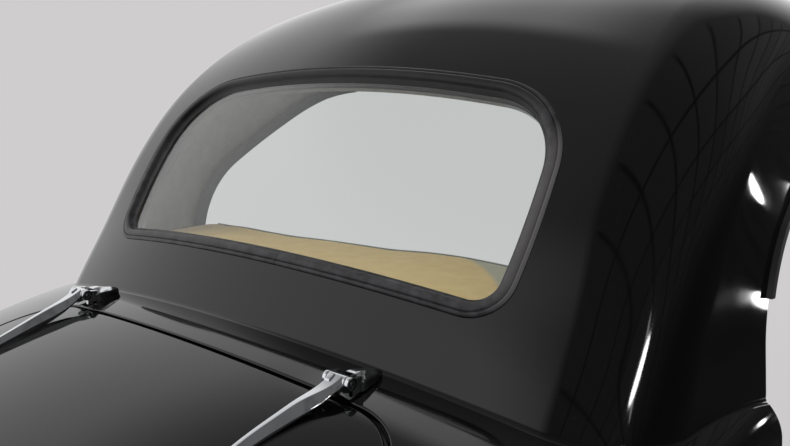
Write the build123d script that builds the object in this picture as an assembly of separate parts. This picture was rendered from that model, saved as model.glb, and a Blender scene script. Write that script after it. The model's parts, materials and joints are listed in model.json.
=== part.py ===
from build123d import *
from math import atan2, cos, radians, sin, sqrt, tan
import os

# Rear body section of a hot rod coupe, in millimetres: X to the right, Y forward, Z up.
# It is cut off at the door lock pillars and across the roof. The origin is the centre of
# the four body bolts, on the underside of the floor. Everything is drawn from the deck
# datum, on the centreline below the hinge axis, and moved up from the floor when written.

# Deck datum, as seen from the body bolts
DECK_Y = 250.0
DECK_Z = 560.0

# The body's sections stand in parallel planes, leaning back from the vertical
SECTION_TILT = 40.0
WALL = 30.0
GREENHOUSE_FOOT = -900.0
BODY_FOOT = -1050.0
FOOT_STEP = 1.5

# Roof and back panel: crown y and z, crown radius, half width, corner radius, side lean
GREENHOUSE = [
    (4, -102, 2463, 711, 184, 6.5),
    (65, 35, 2463, 711, 184, 6.5),
    (138, 166, 2235, 706, 184, 7.7),
    (224, 289, 2642, 700, 186, 8.8),
    (356, 439, 2900, 695, 190, 10.2),
    (514, 561, 2450, 678, 198, 11.2),
    (698, 637, 2250, 668, 205, 11.0),
    (896, 662, 2200, 660, 210, 10.8),
    (1200, 652, 2200, 655, 210, 10.8),
]

# Lower body with the deck: the same columns
BODY = [
    (-1030, -729, 1500, 560, 200, 4.0),
    (-950, -531, 1600, 610, 190, 4.0),
    (-800, -339, 1900, 655, 180, 4.0),
    (-500, -136, 2300, 710, 160, 3.5),
    (-200, -24, 2500, 745, 150, 3.0),
    (65, 30, 2550, 760, 140, 3.0),
    (600, 30, 2550, 765, 130, 3.0),
]

# Where the section is cut off
LOCK_PILLAR_Y = 520.0
ROOF_END_Y = 1100.0
SILL_Z = -700.0
BELT_CUT_Z = -150.0
PANEL_SEAM_X = 380.0

# Door opening in side view: its rear edge, then three arcs up to the roof's end
DOOR_CORNER_Z = 20.0
DOOR_ARCS = [(620, 203), (815, 318), (1180, 398)]
PILLAR_BAND = 28.0
PILLAR_DEPTH = 18.0
POST_LENGTH = 30.0
POST_DEPTH = 70.0
POST_INBOARD = 600.0
STRIKER_SIZE = (26.0, 4.0, 70.0)
STRIKER_Z = -210.0
STRIKER_BOLT_R = 7.0
STRIKER_BOLT_LENGTH = 16.0

# Drip rail over the door
DRIP_GAP = 4.0
DRIP_WIDTH = 10.0
DRIP_PROUD = 9.0
DRIP_LOW_Z = 100.0

# Back window, drawn on a plane that touches the back panel at the fourth section
WINDOW_ROW = 3
WINDOW_LEAN = 37.7
WINDOW_LOW = -200.0
WINDOW_HIGH = 186.0
WINDOW_HALF_LOW = 479.0
WINDOW_HALF_HIGH = 469.0
WINDOW_BOW_LOW = -3.0
WINDOW_BOW_HIGH = 28.0
WINDOW_BOW_SIDE = 18.0
WINDOW_R_LOW = 68.0
WINDOW_R_HIGH = 168.0
WINDOW_REACH = 330.0
SEAL_WIDTH = 27.0
SEAL_PROUD = 5.0
GLASS_IN = 10.0
GLASS_THICK = 5.0
GLASS_BITE = 6.0

# Trim inside the cabin
LINER = 6.0
GARNISH_THICK = 10.0
GARNISH_LAP = 20.0
TRIM_SPLIT_Z = 300.0
BOW_WIDTH = 40.0
BOW_DEPTH = 24.0

# Shelf behind the seat
SHELF_Z = 34.0
SHELF_THICK = 12.0
BULKHEAD_Y = 430.0
BULKHEAD_THICK = 15.0
PAD_HALF = 545.0
PAD_TOP = 54.0
PAD_FRONT_Y = 458.0
PAD_ROUND = 34.0
PAD_BACK_GAP = 12.0

# Deck lid and its opening, drawn square to the sections' stacking direction
LID_TOP = -10.5
LID_BOTTOM = -1000.0
LID_HALF_TOP = 487.0
LID_HALF_BOTTOM = 418.0
LID_R_TOP = 118.0
LID_R_BOTTOM = 148.0
LID_GAP = 5.0
LID_SKIN = 12.0
LID_REACH = 700.0
FRAME_INSET = 20.0
FRAME_BAND = 90.0
FRAME_DEPTH = 24.0
FRAME_RIB = 60.0

# Water gutter round the lid opening, with its seal
GUTTER_OUT = 30.0
GUTTER_WALL = 22.0
GUTTER_FLOOR = 50.0
GUTTER_THICK = 8.0
GUTTER_IN = 45.0
STRIP_OUT = 30.0
STRIP_WIDTH = 12.0
STRIP_HEIGHT = 8.5

# Latch and handle on the centreline of the lid
LATCH_HALF = 32.0
LATCH_BACK = 62.0
LATCH_LENGTH = 55.0
LATCH_DEPTH = 22.0
CATCH_HALF = 18.0
CATCH_LENGTH = 26.0
CATCH_HEIGHT = 7.0
HANDLE_Y = -872.0
HANDLE_Z = -420.0
HANDLE_TILT = 42.0
HANDLE_STEM_R = 8.0
HANDLE_PROUD = 34.0
HANDLE_HALF = 48.0
HANDLE_BAR_R = 8.0
HANDLE_TIP_R = 5.0
ESCUTCHEON_R = 20.0
ESCUTCHEON_PROUD = 5.0

# Hinges: axis over the deck datum, pins, knuckles. Both are one casting, so the knuckle
# stands to the left of the leaf's tip on either side
HINGE_X = 344.0
KNUCKLE_SHIFT = -18.0
AXIS_Z = 21.0
KNUCKLE_R = 10.0
PIN_R = 4.0
PIN_CLEARANCE = 0.05
ARM_KNUCKLE_HALF = 17.0
EAR_THICK = 7.0
EAR_GAP = 0.5
SWING_R = 17.0
ARM_LIFT_Y = -28.0
HINGE_FOOT = 60.0

# Lid side arm: y, sideways shift, height of its top, half width, half width of its flat,
# shoulder drop. An arm bends inboard
ARM = [
    (-6, 0, 31.0, 16.3, 11.0, 7.0),
    (-34, 4, 19.0, 16.3, 8.0, 12.0),
    (-62, 10, 12.0, 14.5, 5.5, 14.0),
    (-95, 14, 2.5, 12.0, 4.5, 13.0),
    (-130, 18, -8.5, 11.0, 4.0, 11.0),
    (-200, 21, -32.0, 9.0, 3.0, 8.0),
    (-290, 22, -66.0, 6.0, 2.0, 5.0),
]

# Body side leaf, up to its pointed tip: the same columns, shifted to the right
LEAF = [
    (0, 0, 30.0, 24.5, 14.0, 7.0),
    (24, 6, 28.0, 19.5, 8.0, 8.0),
    (46, 12, 25.5, 11.5, 4.0, 7.0),
    (66, 16, 22.0, 3.5, 1.0, 2.5),
]

# Floor, its beads and its bolts, and the wheelhouses
FLOOR_THICK = 20.0
FLOOR_BACK_Y = -930.0
BEAD_PITCH = 150.0
BEAD_COUNT = 5
BEAD_WIDTH = 46.0
BEAD_HEIGHT = 9.0
BEAD_START_Y = -560.0
BEAD_END_Y = 380.0
BOLT_PITCH_X = 900.0
BOLT_PITCH_Y = 800.0
BOLT_R = 6.5
WHEEL_Y = -80.0
WHEEL_Z = -720.0
ARCH_R = 330.0
HOUSE_R = 365.0
HOUSE_WALL = 10.0
HOUSE_INBOARD = 520.0

# Room past the body on every side, for cutting tools
REACH = 1600.0

TILT = radians(SECTION_TILT)
STACK = Vector(0, cos(TILT), sin(TILT))
RISE = Vector(0, -sin(TILT), cos(TILT))


def arch(row, inset, foot):
    """One closed section: foot, leaning sides, corner arcs and crown arc, made smaller by inset."""
    y, z, crown_r, half, corner_r, lean = row
    lean = radians(lean)
    ahead = y * STACK.Y + z * STACK.Z
    top = y * RISE.Y + z * RISE.Z - inset
    crown_r, half, corner_r = crown_r - inset, half - inset, corner_r - inset
    crown_h = top - crown_r
    corner_x = half - corner_r * cos(lean)
    corner_h = crown_h + sqrt((crown_r - corner_r) ** 2 - corner_x**2)
    join = atan2(corner_x, corner_h - crown_h)
    side_h = corner_h + corner_r * sin(lean)
    foot_x = half + (side_h - foot) * tan(lean)
    middle = (join + radians(90) - lean) / 2
    join_x, join_h = crown_r * sin(join), crown_h + crown_r * cos(join)
    bend_x, bend_h = corner_x + corner_r * sin(middle), corner_h + corner_r * cos(middle)
    edges = [
        Line((-foot_x, foot), (-half, side_h)),
        ThreePointArc((-half, side_h), (-bend_x, bend_h), (-join_x, join_h)),
        ThreePointArc((-join_x, join_h), (0, top), (join_x, join_h)),
        ThreePointArc((join_x, join_h), (bend_x, bend_h), (half, side_h)),
        Line((half, side_h), (foot_x, foot)),
        Line((foot_x, foot), (-foot_x, foot)),
    ]
    place = Plane(origin=STACK * ahead, x_dir=(1, 0, 0), z_dir=-STACK)
    return place * make_face(edges)


def layer_solid(rows, inset, foot):
    """The whole form, inset all round. Inner ones reach lower, so that a shell is open below."""
    return loft([arch(row, inset, foot - inset * FOOT_STEP) for row in rows])


def greenhouse(inset):
    return layer_solid(GREENHOUSE, inset, GREENHOUSE_FOOT)


def body(inset):
    return layer_solid(BODY, inset, BODY_FOOT)


def block(low, high):
    """A box from its lowest to its highest corner."""
    size = [b - a for a, b in zip(low, high)]
    middle = [(a + b) / 2 for a, b in zip(low, high)]
    return Pos(*middle) * Box(*size)


def rod(center, radius, length, axis):
    """A round rod centred on a point, along an axis."""
    return Plane(origin=center, z_dir=axis) * Cylinder(radius, length)


def flat_outline(corners, bows, radii):
    """A face of four bowed sides with rounded corners, from its lower left corner round."""
    edges = []
    for (a, b), bow in zip(zip(corners, corners[1:] + corners[:1]), bows):
        a, b = Vector(*a), Vector(*b)
        side = b - a
        out = Vector(side.Y, -side.X).normalized()
        if abs(bow) > 0:
            edges.append(ThreePointArc(a, (a + b) * 0.5 + out * bow, b))
        else:
            edges.append(Line(a, b))
    face = make_face(edges)
    low_pair = face.vertices().sort_by(Axis.Y)[:2]
    face = fillet(low_pair, radii[0])
    high = max(corner[1] for corner in corners)
    top_pair = [v for v in face.vertices() if abs(v.Y - high) < 1e-3]
    return fillet(top_pair, radii[1])


def moved(edge, outset, turn):
    """A line or arc moved sideways, to its left for a turn of 1 and to its right for -1."""
    points = []
    for share in (0, 0.5, 1):
        along = edge % share
        left = Vector(-along.Y, along.X, 0) * turn
        points.append(edge @ share + left * outset)
    if edge.geom_type == GeomType.LINE:
        return Line(points[0], points[2])
    return ThreePointArc(*points)


def grown(face, outset):
    """A rounded outline moved outward all round, with its arcs kept as arcs."""
    center = face.center()
    edges = []
    for edge in face.edges():
        along, spoke = edge % 0.5, edge @ 0.5 - center
        turn = 1 if along.X * spoke.Y - along.Y * spoke.X < 0 else -1
        edges.append(moved(edge, outset, -turn))
    return make_face(edges)


def window_prism(outset):
    """The back window's outline, grown by outset, as a prism through the back panel."""
    corners = [
        (-WINDOW_HALF_LOW, WINDOW_LOW),
        (WINDOW_HALF_LOW, WINDOW_LOW),
        (WINDOW_HALF_HIGH, WINDOW_HIGH),
        (-WINDOW_HALF_HIGH, WINDOW_HIGH),
    ]
    bows = [WINDOW_BOW_LOW, WINDOW_BOW_SIDE, WINDOW_BOW_HIGH, WINDOW_BOW_SIDE]
    face = flat_outline(corners, bows, (WINDOW_R_LOW, WINDOW_R_HIGH))
    if outset:
        face = grown(face, outset)
    lean = radians(WINDOW_LEAN)
    y, z = GREENHOUSE[WINDOW_ROW][:2]
    place = Plane(origin=(0, y, z), x_dir=(1, 0, 0), z_dir=(0, -cos(lean), sin(lean)))
    return extrude(place * face, WINDOW_REACH / 2, both=True)


def lid_prism(outset):
    """The deck lid's outline, grown by outset, as a prism through the deck."""
    corners = [
        (-LID_HALF_BOTTOM, LID_BOTTOM),
        (LID_HALF_BOTTOM, LID_BOTTOM),
        (LID_HALF_TOP, LID_TOP),
        (-LID_HALF_TOP, LID_TOP),
    ]
    face = flat_outline(corners, [0, 0, 0, 0], (LID_R_BOTTOM, LID_R_TOP))
    if outset:
        face = grown(face, outset)
    place = Plane(origin=(0, 0, 0), x_dir=(1, 0, 0), z_dir=RISE)
    return extrude(place * face, LID_REACH, both=True)


def door_prism(outset):
    """The door opening in side view, grown by outset, right across the body."""
    rear = LOCK_PILLAR_Y
    path = [Line((rear, -REACH), (rear, DOOR_CORNER_Z))]
    for point in DOOR_ARCS:
        start = path[-1] @ 1
        path.append(TangentArc(start, point, tangent=path[-1] % 1))
    path = [moved(edge, outset, 1) for edge in path]
    start, end = path[0] @ 0, path[-1] @ 1
    far = end + Vector(REACH, 0, 0)
    low = Vector(far.X, start.Y, 0)
    face = make_face(path + [Line(end, far), Line(far, low), Line(low, start)])
    place = Plane(origin=(0, 0, 0), x_dir=(0, 1, 0), z_dir=(1, 0, 0))
    return extrude(place * face, REACH, both=True)


def ridge_face(row, foot, turn):
    """Cross section of a hinge arm or leaf: flat top, sloped shoulders, straight sides."""
    y, shift, top, half, flat, drop = row
    points = [
        (turn * shift - half, top - foot),
        (turn * shift - half, top - drop),
        (turn * shift - flat, top),
        (turn * shift + flat, top),
        (turn * shift + half, top - drop),
        (turn * shift + half, top - foot),
    ]
    place = Plane(origin=(0, y, 0), x_dir=(1, 0, 0), z_dir=(0, -1, 0))
    return place * make_face(Polyline(*points, close=True))


def ridge_loft(rows, turn):
    """The faceted body of a hinge arm or leaf, its shifts taken to the right or left."""
    return loft([ridge_face(row, HINGE_FOOT, turn) for row in rows], ruled=True)


def layer(form, outer, inner, tool):
    """The part of a tool that lies between two insets of a form."""
    return (form(outer) & tool) - form(inner)


WORLD_LEFT = block((-REACH, -REACH, -REACH), (0, REACH, REACH))
WORLD_RIGHT = block((0, -REACH, -REACH), (REACH, REACH, REACH))
BODY_SPACE = block((-REACH, -REACH, SILL_Z), (REACH, LOCK_PILLAR_Y, REACH))
ROOF_SPACE = block((-REACH, -REACH, SILL_Z), (REACH, ROOF_END_Y, REACH))
SEAM_SPACE = block((-PANEL_SEAM_X, -REACH, -REACH), (PANEL_SEAM_X, REACH, REACH))
ABOVE_BELT = block((-REACH, -REACH, BELT_CUT_Z), (REACH, REACH, REACH))
ABOVE_SHELF = block((-REACH, -REACH, SHELF_Z + SHELF_THICK), (REACH, REACH, REACH))

body_outer = body(0)
roof_inner = greenhouse(WALL)
body_inner = body(WALL)
door = door_prism(0)
window = window_prism(0)
parts = {}


def build_skins():
    """Roof, back panel and lower body skins, each as thick as the whole wall."""
    shell = (greenhouse(0) & ROOF_SPACE) - door - window
    parts["roof_shell"] = shell - roof_inner - body_outer
    skin = (body_outer & BODY_SPACE) - lid_prism(LID_GAP)
    skin -= rod((0, WHEEL_Y, WHEEL_Z), ARCH_R, 2 * REACH, (1, 0, 0))
    skin = skin - body_inner - (roof_inner & ABOVE_BELT)
    middle = skin & SEAM_SPACE
    pieces = middle.solids().sort_by(Axis.Y)
    parts["tail_panel"], parts["tulip_panel"] = pieces[0], pieces[-1]
    wings = skin - SEAM_SPACE
    parts["quarter_panel_left"] = wings & WORLD_LEFT
    parts["quarter_panel_right"] = wings & WORLD_RIGHT


def build_window():
    """Rubber seal, glass in its groove, and the trim band inside."""
    ring = window - window_prism(-SEAL_WIDTH)
    seal = layer(greenhouse, -SEAL_PROUD, WALL + LINER, ring)
    pane = window_prism(GLASS_BITE - SEAL_WIDTH)
    glass = layer(greenhouse, GLASS_IN, GLASS_IN + GLASS_THICK, pane)
    parts["back_window_glass"] = glass
    parts["back_window_seal"] = seal - glass
    band = window_prism(GARNISH_LAP) - window_prism(-SEAL_WIDTH)
    liner_in = WALL + LINER
    parts["back_window_garnish"] = layer(greenhouse, liner_in, liner_in + GARNISH_THICK, band)


def build_trim():
    """Headliner, quarter trim and the bow at the roof's cut end."""
    liner_space = (ROOF_SPACE & ABOVE_SHELF) - door - window
    above = block((-REACH, -REACH, TRIM_SPLIT_Z), (REACH, REACH, REACH))
    liner_in = WALL + LINER
    parts["headliner"] = layer(greenhouse, WALL, liner_in, liner_space & above)
    sides = layer(greenhouse, WALL, liner_in, liner_space - above)
    parts["quarter_trim_left"] = sides & WORLD_LEFT
    parts["quarter_trim_right"] = sides & WORLD_RIGHT
    bow_space = block((-REACH, ROOF_END_Y - BOW_WIDTH, 0), (REACH, ROOF_END_Y, REACH))
    bow_space -= door_prism(PILLAR_BAND)
    parts["roof_bow"] = layer(greenhouse, liner_in, liner_in + BOW_DEPTH, bow_space)


def build_pillars():
    """Lock pillars, the frame over the door, door strikers and drip rails."""
    band = (door_prism(PILLAR_BAND) - door) & ABOVE_SHELF & ROOF_SPACE
    liner_in = WALL + LINER
    back = LOCK_PILLAR_Y - POST_LENGTH
    post_space = block((POST_INBOARD, back, SILL_Z), (REACH, LOCK_PILLAR_Y, REACH))
    rail_space = block((-REACH, -REACH, DRIP_LOW_Z), (REACH, ROOF_END_Y, REACH))
    rail_band = (door_prism(DRIP_GAP + DRIP_WIDTH) - door_prism(DRIP_GAP)) & rail_space
    post = layer(body, WALL, WALL + POST_DEPTH, post_space)
    posts = {"right": post, "left": mirror(post, Plane.YZ)}
    for side, half, sign in (("left", WORLD_LEFT, -1), ("right", WORLD_RIGHT, 1)):
        frame_in = liner_in + PILLAR_DEPTH
        parts[f"door_frame_{side}"] = layer(greenhouse, liner_in, frame_in, band & half)
        parts[f"lock_pillar_{side}"] = posts[side]
        parts[f"drip_rail_{side}"] = layer(greenhouse, -DRIP_PROUD, 0, rail_band & half)
        wide, thick, tall = STRIKER_SIZE
        x = sign * (BODY[-1][3] - WALL - POST_DEPTH / 2)
        plate = Pos(x, LOCK_PILLAR_Y + thick / 2, STRIKER_Z) * Box(wide, thick, tall)
        stud_y = LOCK_PILLAR_Y + thick + STRIKER_BOLT_LENGTH / 2
        stud = rod((x, stud_y, STRIKER_Z), STRIKER_BOLT_R, STRIKER_BOLT_LENGTH, (0, 1, 0))
        parts[f"door_striker_{side}"] = plate + stud


def build_inside():
    """Seat bulkhead, shelf board and the padded shelf on it."""
    front = BULKHEAD_Y + BULKHEAD_THICK
    floor_top = -DECK_Z + FLOOR_THICK
    wall_space = block((-REACH, BULKHEAD_Y, floor_top), (REACH, front, SHELF_Z))
    parts["seat_bulkhead"] = (body_inner & wall_space) + (roof_inner & wall_space)
    board_top = SHELF_Z + SHELF_THICK
    board_space = block((-REACH, -REACH, SHELF_Z), (REACH, front, board_top))
    parts["shelf_board"] = roof_inner & board_space
    pad_low = (-PAD_HALF, 0, board_top)
    pad = block(pad_low, (PAD_HALF, PAD_FRONT_Y, board_top + PAD_TOP))
    ends = pad.edges().filter_by(Axis.Z).group_by(Axis.Y)[-1]
    pad = fillet(ends, PAD_ROUND)
    pad = fillet(pad.faces().sort_by(Axis.Z)[-1].edges(), PAD_ROUND / 2)
    parts["package_shelf"] = pad & greenhouse(WALL + LINER + GARNISH_THICK + PAD_BACK_GAP)


def build_lid():
    """Deck lid skin with its pressed inner frame, latch and handle."""
    frame_in = LID_SKIN + FRAME_DEPTH
    parts["deck_lid_skin"] = layer(body, 0, LID_SKIN, lid_prism(0))
    frame = layer(body, LID_SKIN, frame_in, lid_prism(-FRAME_INSET))
    hollow = lid_prism(-FRAME_INSET - FRAME_BAND)
    rib = block((-FRAME_RIB / 2, -REACH, -REACH), (FRAME_RIB / 2, REACH, REACH))
    middle = (LID_TOP + LID_BOTTOM) / 2
    cross = Plane(origin=STACK * middle, z_dir=STACK) * Box(2 * REACH, 2 * REACH, FRAME_RIB)
    parts["deck_lid_frame"] = frame - (hollow - rib - cross)

    latch_low = LID_BOTTOM + LATCH_BACK
    place = Plane(origin=(0, 0, 0), x_dir=(1, 0, 0), z_dir=RISE)
    center = (0, latch_low + LATCH_LENGTH / 2, 0)
    column = place * Pos(*center) * Box(2 * LATCH_HALF, LATCH_LENGTH, 2 * LID_REACH)
    parts["deck_latch"] = layer(body, frame_in, frame_in + LATCH_DEPTH, column)

    tilt = radians(HANDLE_TILT)
    out = Vector(0, -cos(tilt), sin(tilt))
    foot = Vector(0, HANDLE_Y, HANDLE_Z)
    stem = rod(foot + out * HANDLE_PROUD / 2, HANDLE_STEM_R, HANDLE_PROUD, out)
    plate = rod(foot, ESCUTCHEON_R, 2 * ESCUTCHEON_PROUD, out)
    bar = Plane(origin=foot + out * HANDLE_PROUD, x_dir=out, z_dir=(1, 0, 0))
    profile = Polyline(
        (0, -HANDLE_HALF),
        (HANDLE_TIP_R, -HANDLE_HALF),
        (HANDLE_BAR_R, 0),
        (HANDLE_TIP_R, HANDLE_HALF),
        (0, HANDLE_HALF),
        close=True,
    )
    grip = bar * revolve(Plane.XZ * make_face(profile), Axis.Z)
    parts["deck_lid_handle"] = stem + plate + grip - body_outer


def build_gutter():
    """Water gutter under the lid's edge, with its rubber strip and the lid's catch."""
    outline = lid_prism(GUTTER_OUT)
    gutter = layer(body, WALL, GUTTER_FLOOR + GUTTER_THICK, outline)
    inside = lid_prism(GUTTER_OUT - GUTTER_WALL)
    gutter -= layer(body, 0, GUTTER_FLOOR, inside)
    parts["deck_gutter"] = gutter - lid_prism(-GUTTER_IN)
    strip_ring = lid_prism(-STRIP_OUT) - lid_prism(-STRIP_OUT - STRIP_WIDTH)
    parts["deck_weatherstrip"] = layer(body, GUTTER_FLOOR - STRIP_HEIGHT, GUTTER_FLOOR, strip_ring)

    place = Plane(origin=(0, 0, 0), x_dir=(1, 0, 0), z_dir=RISE)
    center = (0, LID_BOTTOM + CATCH_LENGTH / 2, 0)
    column = place * Pos(*center) * Box(2 * CATCH_HALF, CATCH_LENGTH, 2 * LID_REACH)
    parts["deck_catch"] = layer(body, GUTTER_FLOOR - CATCH_HEIGHT, GUTTER_FLOOR, column)


def build_hinges():
    """A chromed leaf on the body and a tapered arm on the lid, on one pin at each side."""
    axis = (0, 0, AXIS_Z)
    ear_out = ARM_KNUCKLE_HALF + EAR_GAP + EAR_THICK
    barrel = rod(axis, KNUCKLE_R, 2 * ear_out, (1, 0, 0))
    swing = rod(axis, SWING_R, 2 * (ARM_KNUCKLE_HALF + EAR_GAP), (1, 0, 0))
    ear_room = rod(axis, KNUCKLE_R + EAR_GAP, 2 * REACH, (1, 0, 0))
    ear_room -= rod(axis, SWING_R, 2 * ARM_KNUCKLE_HALF, (1, 0, 0))
    bore = rod(axis, PIN_R + PIN_CLEARANCE, 2 * REACH, (1, 0, 0))
    under = block(
        (-REACH, ARM_LIFT_Y, -REACH),
        (REACH, REACH, AXIS_Z - KNUCKLE_R),
    )
    pin = rod(axis, PIN_R, 2 * ear_out, (1, 0, 0))
    leaf = ridge_loft(LEAF, 1) + barrel - swing - pin
    knuckle = rod(axis, KNUCKLE_R, 2 * ARM_KNUCKLE_HALF, (1, 0, 0))
    for side, sign in (("left", -1), ("right", 1)):
        place = Pos(sign * HINGE_X + KNUCKLE_SHIFT, 0, 0)
        arm = ridge_loft(ARM, -sign) - under - ear_room + knuckle - bore
        parts[f"hinge_leaf_{side}"] = place * leaf - body_outer
        parts[f"hinge_arm_{side}"] = place * arm - body_outer
        parts[f"hinge_pin_{side}"] = place * pin


def build_floor():
    """Beaded floor with its body bolt holes, and the two wheelhouses."""
    low, high = -DECK_Z, -DECK_Z + FLOOR_THICK
    slab = block((-REACH, FLOOR_BACK_Y, low), (REACH, LOCK_PILLAR_Y, high))
    floor = slab & body_inner
    for i in range(BEAD_COUNT):
        x = (i - (BEAD_COUNT - 1) / 2) * BEAD_PITCH
        center = (x, (BEAD_START_Y + BEAD_END_Y) / 2, high)
        bead = Pos(*center) * Box(BEAD_WIDTH, BEAD_END_Y - BEAD_START_Y, 2 * BEAD_HEIGHT)
        crest = bead.faces().sort_by(Axis.Z)[-1].edges()
        floor += chamfer(crest, BEAD_HEIGHT * 0.8)
    house_center = (0, WHEEL_Y, WHEEL_Z)
    outer = rod(house_center, HOUSE_R, 2 * REACH, (1, 0, 0))
    inner = rod(house_center, HOUSE_R - HOUSE_WALL, 2 * REACH, (1, 0, 0))
    inboard = HOUSE_INBOARD
    cores = {
        "right": block((inboard, -REACH, SILL_Z), (REACH, REACH, REACH)),
        "left": block((-REACH, -REACH, SILL_Z), (-inboard, REACH, REACH)),
    }
    room = {
        "right": block((inboard + HOUSE_WALL, -REACH, -REACH), (REACH, REACH, REACH)),
        "left": block((-REACH, -REACH, -REACH), (-inboard - HOUSE_WALL, REACH, REACH)),
    }
    for side in ("left", "right"):
        floor -= outer & cores[side]
        house = (outer & cores[side]) - (inner & room[side])
        parts[f"wheelhouse_{side}"] = house & body_inner
    for x in (-BOLT_PITCH_X / 2, BOLT_PITCH_X / 2):
        for y in (-BOLT_PITCH_Y / 2, BOLT_PITCH_Y / 2):
            floor -= rod((x, y - DECK_Y, low), BOLT_R, 4 * FLOOR_THICK, (0, 0, 1))
    for name in ("deck_gutter", "lock_pillar_left", "lock_pillar_right"):
        floor -= parts[name]
    parts["floor_pan"] = floor


build_skins()
build_window()
build_trim()
build_pillars()
build_inside()
build_lid()
build_gutter()
build_hinges()
build_floor()

os.makedirs("parts", exist_ok=True)
for name, shape in parts.items():
    export_step(Pos(0, DECK_Y, DECK_Z) * shape, f"parts/{name}.step")
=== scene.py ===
"""Dresses the rear body section of a hot rod coupe: paint, chrome, rubber, glass and cloth."""

import json
from math import atan2, ceil, cos, pi, radians, sin, tan

import bpy
import numpy as np
from mathutils import Matrix, Vector


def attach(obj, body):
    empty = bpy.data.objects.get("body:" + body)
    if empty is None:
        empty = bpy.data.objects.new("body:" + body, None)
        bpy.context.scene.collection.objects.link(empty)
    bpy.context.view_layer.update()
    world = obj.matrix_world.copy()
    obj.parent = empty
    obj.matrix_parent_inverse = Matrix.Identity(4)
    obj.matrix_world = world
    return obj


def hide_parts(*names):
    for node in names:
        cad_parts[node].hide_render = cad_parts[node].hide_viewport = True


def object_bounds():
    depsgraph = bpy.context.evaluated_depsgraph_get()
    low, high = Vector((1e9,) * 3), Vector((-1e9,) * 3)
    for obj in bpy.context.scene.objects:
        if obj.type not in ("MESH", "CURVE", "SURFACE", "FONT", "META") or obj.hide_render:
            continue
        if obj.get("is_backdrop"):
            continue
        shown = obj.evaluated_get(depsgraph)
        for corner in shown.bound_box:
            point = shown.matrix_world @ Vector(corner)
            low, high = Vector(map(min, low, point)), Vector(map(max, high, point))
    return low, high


bl_info = {
    "name": "Coupe rear section",
    "version": (1, 0, 0),
    "blender": (4, 5, 0),
    "location": "3D View > Sidebar > Coupe",
    "description": "Builds the finished surfaces of a coupe's rear body section on its CAD frame",
    "category": "Object",
}

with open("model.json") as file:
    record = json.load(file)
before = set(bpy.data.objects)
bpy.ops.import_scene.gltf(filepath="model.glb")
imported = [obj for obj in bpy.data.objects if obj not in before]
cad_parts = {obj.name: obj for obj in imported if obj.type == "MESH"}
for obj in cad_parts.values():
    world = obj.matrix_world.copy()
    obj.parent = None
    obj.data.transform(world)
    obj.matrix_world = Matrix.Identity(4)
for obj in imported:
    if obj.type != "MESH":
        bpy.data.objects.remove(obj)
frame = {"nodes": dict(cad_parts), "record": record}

MM = 0.001

# The forms are drawn in millimetres from the deck datum, as the CAD source draws them
DECK = np.array((0.0, 250.0, 560.0))
TILT = radians(40.0)
STACK = np.array((0.0, cos(TILT), sin(TILT)))
RISE = np.array((0.0, -sin(TILT), cos(TILT)))
WALL = 30.0

# Crown y and z, crown radius, half width, corner radius, side lean
GREENHOUSE = [
    (4, -102, 2463, 711, 184, 6.5),
    (65, 35, 2463, 711, 184, 6.5),
    (138, 166, 2235, 706, 184, 7.7),
    (224, 289, 2642, 700, 186, 8.8),
    (356, 439, 2900, 695, 190, 10.2),
    (514, 561, 2450, 678, 198, 11.2),
    (698, 637, 2250, 668, 205, 11.0),
    (896, 662, 2200, 660, 210, 10.8),
    (1200, 652, 2200, 655, 210, 10.8),
]
BODY = [
    (-1030, -729, 1500, 560, 200, 4.0),
    (-950, -531, 1600, 610, 190, 4.0),
    (-800, -339, 1900, 655, 180, 4.0),
    (-500, -136, 2300, 710, 160, 3.5),
    (-200, -24, 2500, 745, 150, 3.0),
    (65, 30, 2550, 760, 140, 3.0),
    (600, 30, 2550, 765, 130, 3.0),
]

LOCK_PILLAR_Y = 520.0
ROOF_END_Y = 1100.0
SILL_Z = -700.0
SKIN_LOW_Z = SILL_Z - 60.0
CABIN_LOW_Z = -220.0
BELT_CUT_Z = -150.0
DOOR_CORNER_Z = 20.0
DOOR_ARCS = [(620, 203), (815, 318), (1180, 398)]
DOOR_FAR = 1600.0
WHEEL = (-80.0, -720.0)
ARCH_R = 330.0

# Back window in the plane that touches the fourth section of the greenhouse
WINDOW_LEAN = radians(37.7)
WINDOW_CORNERS = [(-479, -200), (479, -200), (469, 186), (-469, 186)]
WINDOW_BOWS = [-3.0, 18.0, 28.0, 18.0]
WINDOW_RADII = [68, 68, 168, 168]
SEAL_WIDTH = 27.0
GLASS_IN = 10.0
GLASS_THICK = 5.0
GLASS_EDGE_R = 0.2
GLASS_UNDER_SEAL = 4.0
PANE_REACH = (-40.0, 560.0)
PANE_SHARE = 0.6
PANE_COARSER = 1.5

# Deck lid, square to the stacking direction of the sections
LID_CORNERS = [(-418, -1000), (418, -1000), (487, -10.5), (-487, -10.5)]
LID_RADII = [148, 148, 118, 118]
LID_GAP = 5.0
LID_SKIN = 12.0
LID_SPARE = 5.0

# Deck hinges: the height of their axis, where their knuckles stand, and their round parts
AXIS_Z = 21.0
KNUCKLES = {"left": -362.0, "right": 326.0}
EAR_IN = 17.5
EAR_OUT = 24.5
PIN_R = 4.0
BORE_R = PIN_R + 0.3

# Arm on the lid: y, shift inboard, height of its top, half width, half width of its flat,
# and the drop of its shoulders
ARM = [
    (-290, 22, -66.0, 6.0, 2.0, 5.0),
    (-200, 21, -32.0, 9.0, 3.0, 8.0),
    (-130, 18, -8.5, 11.0, 4.0, 11.0),
    (-95, 14, 2.5, 12.0, 4.5, 13.0),
    (-62, 10, 12.0, 14.5, 5.5, 14.0),
    (-34, 4, 19.0, 16.3, 8.0, 12.0),
    (-6, 0, 31.0, 16.3, 11.0, 7.0),
]

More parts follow.
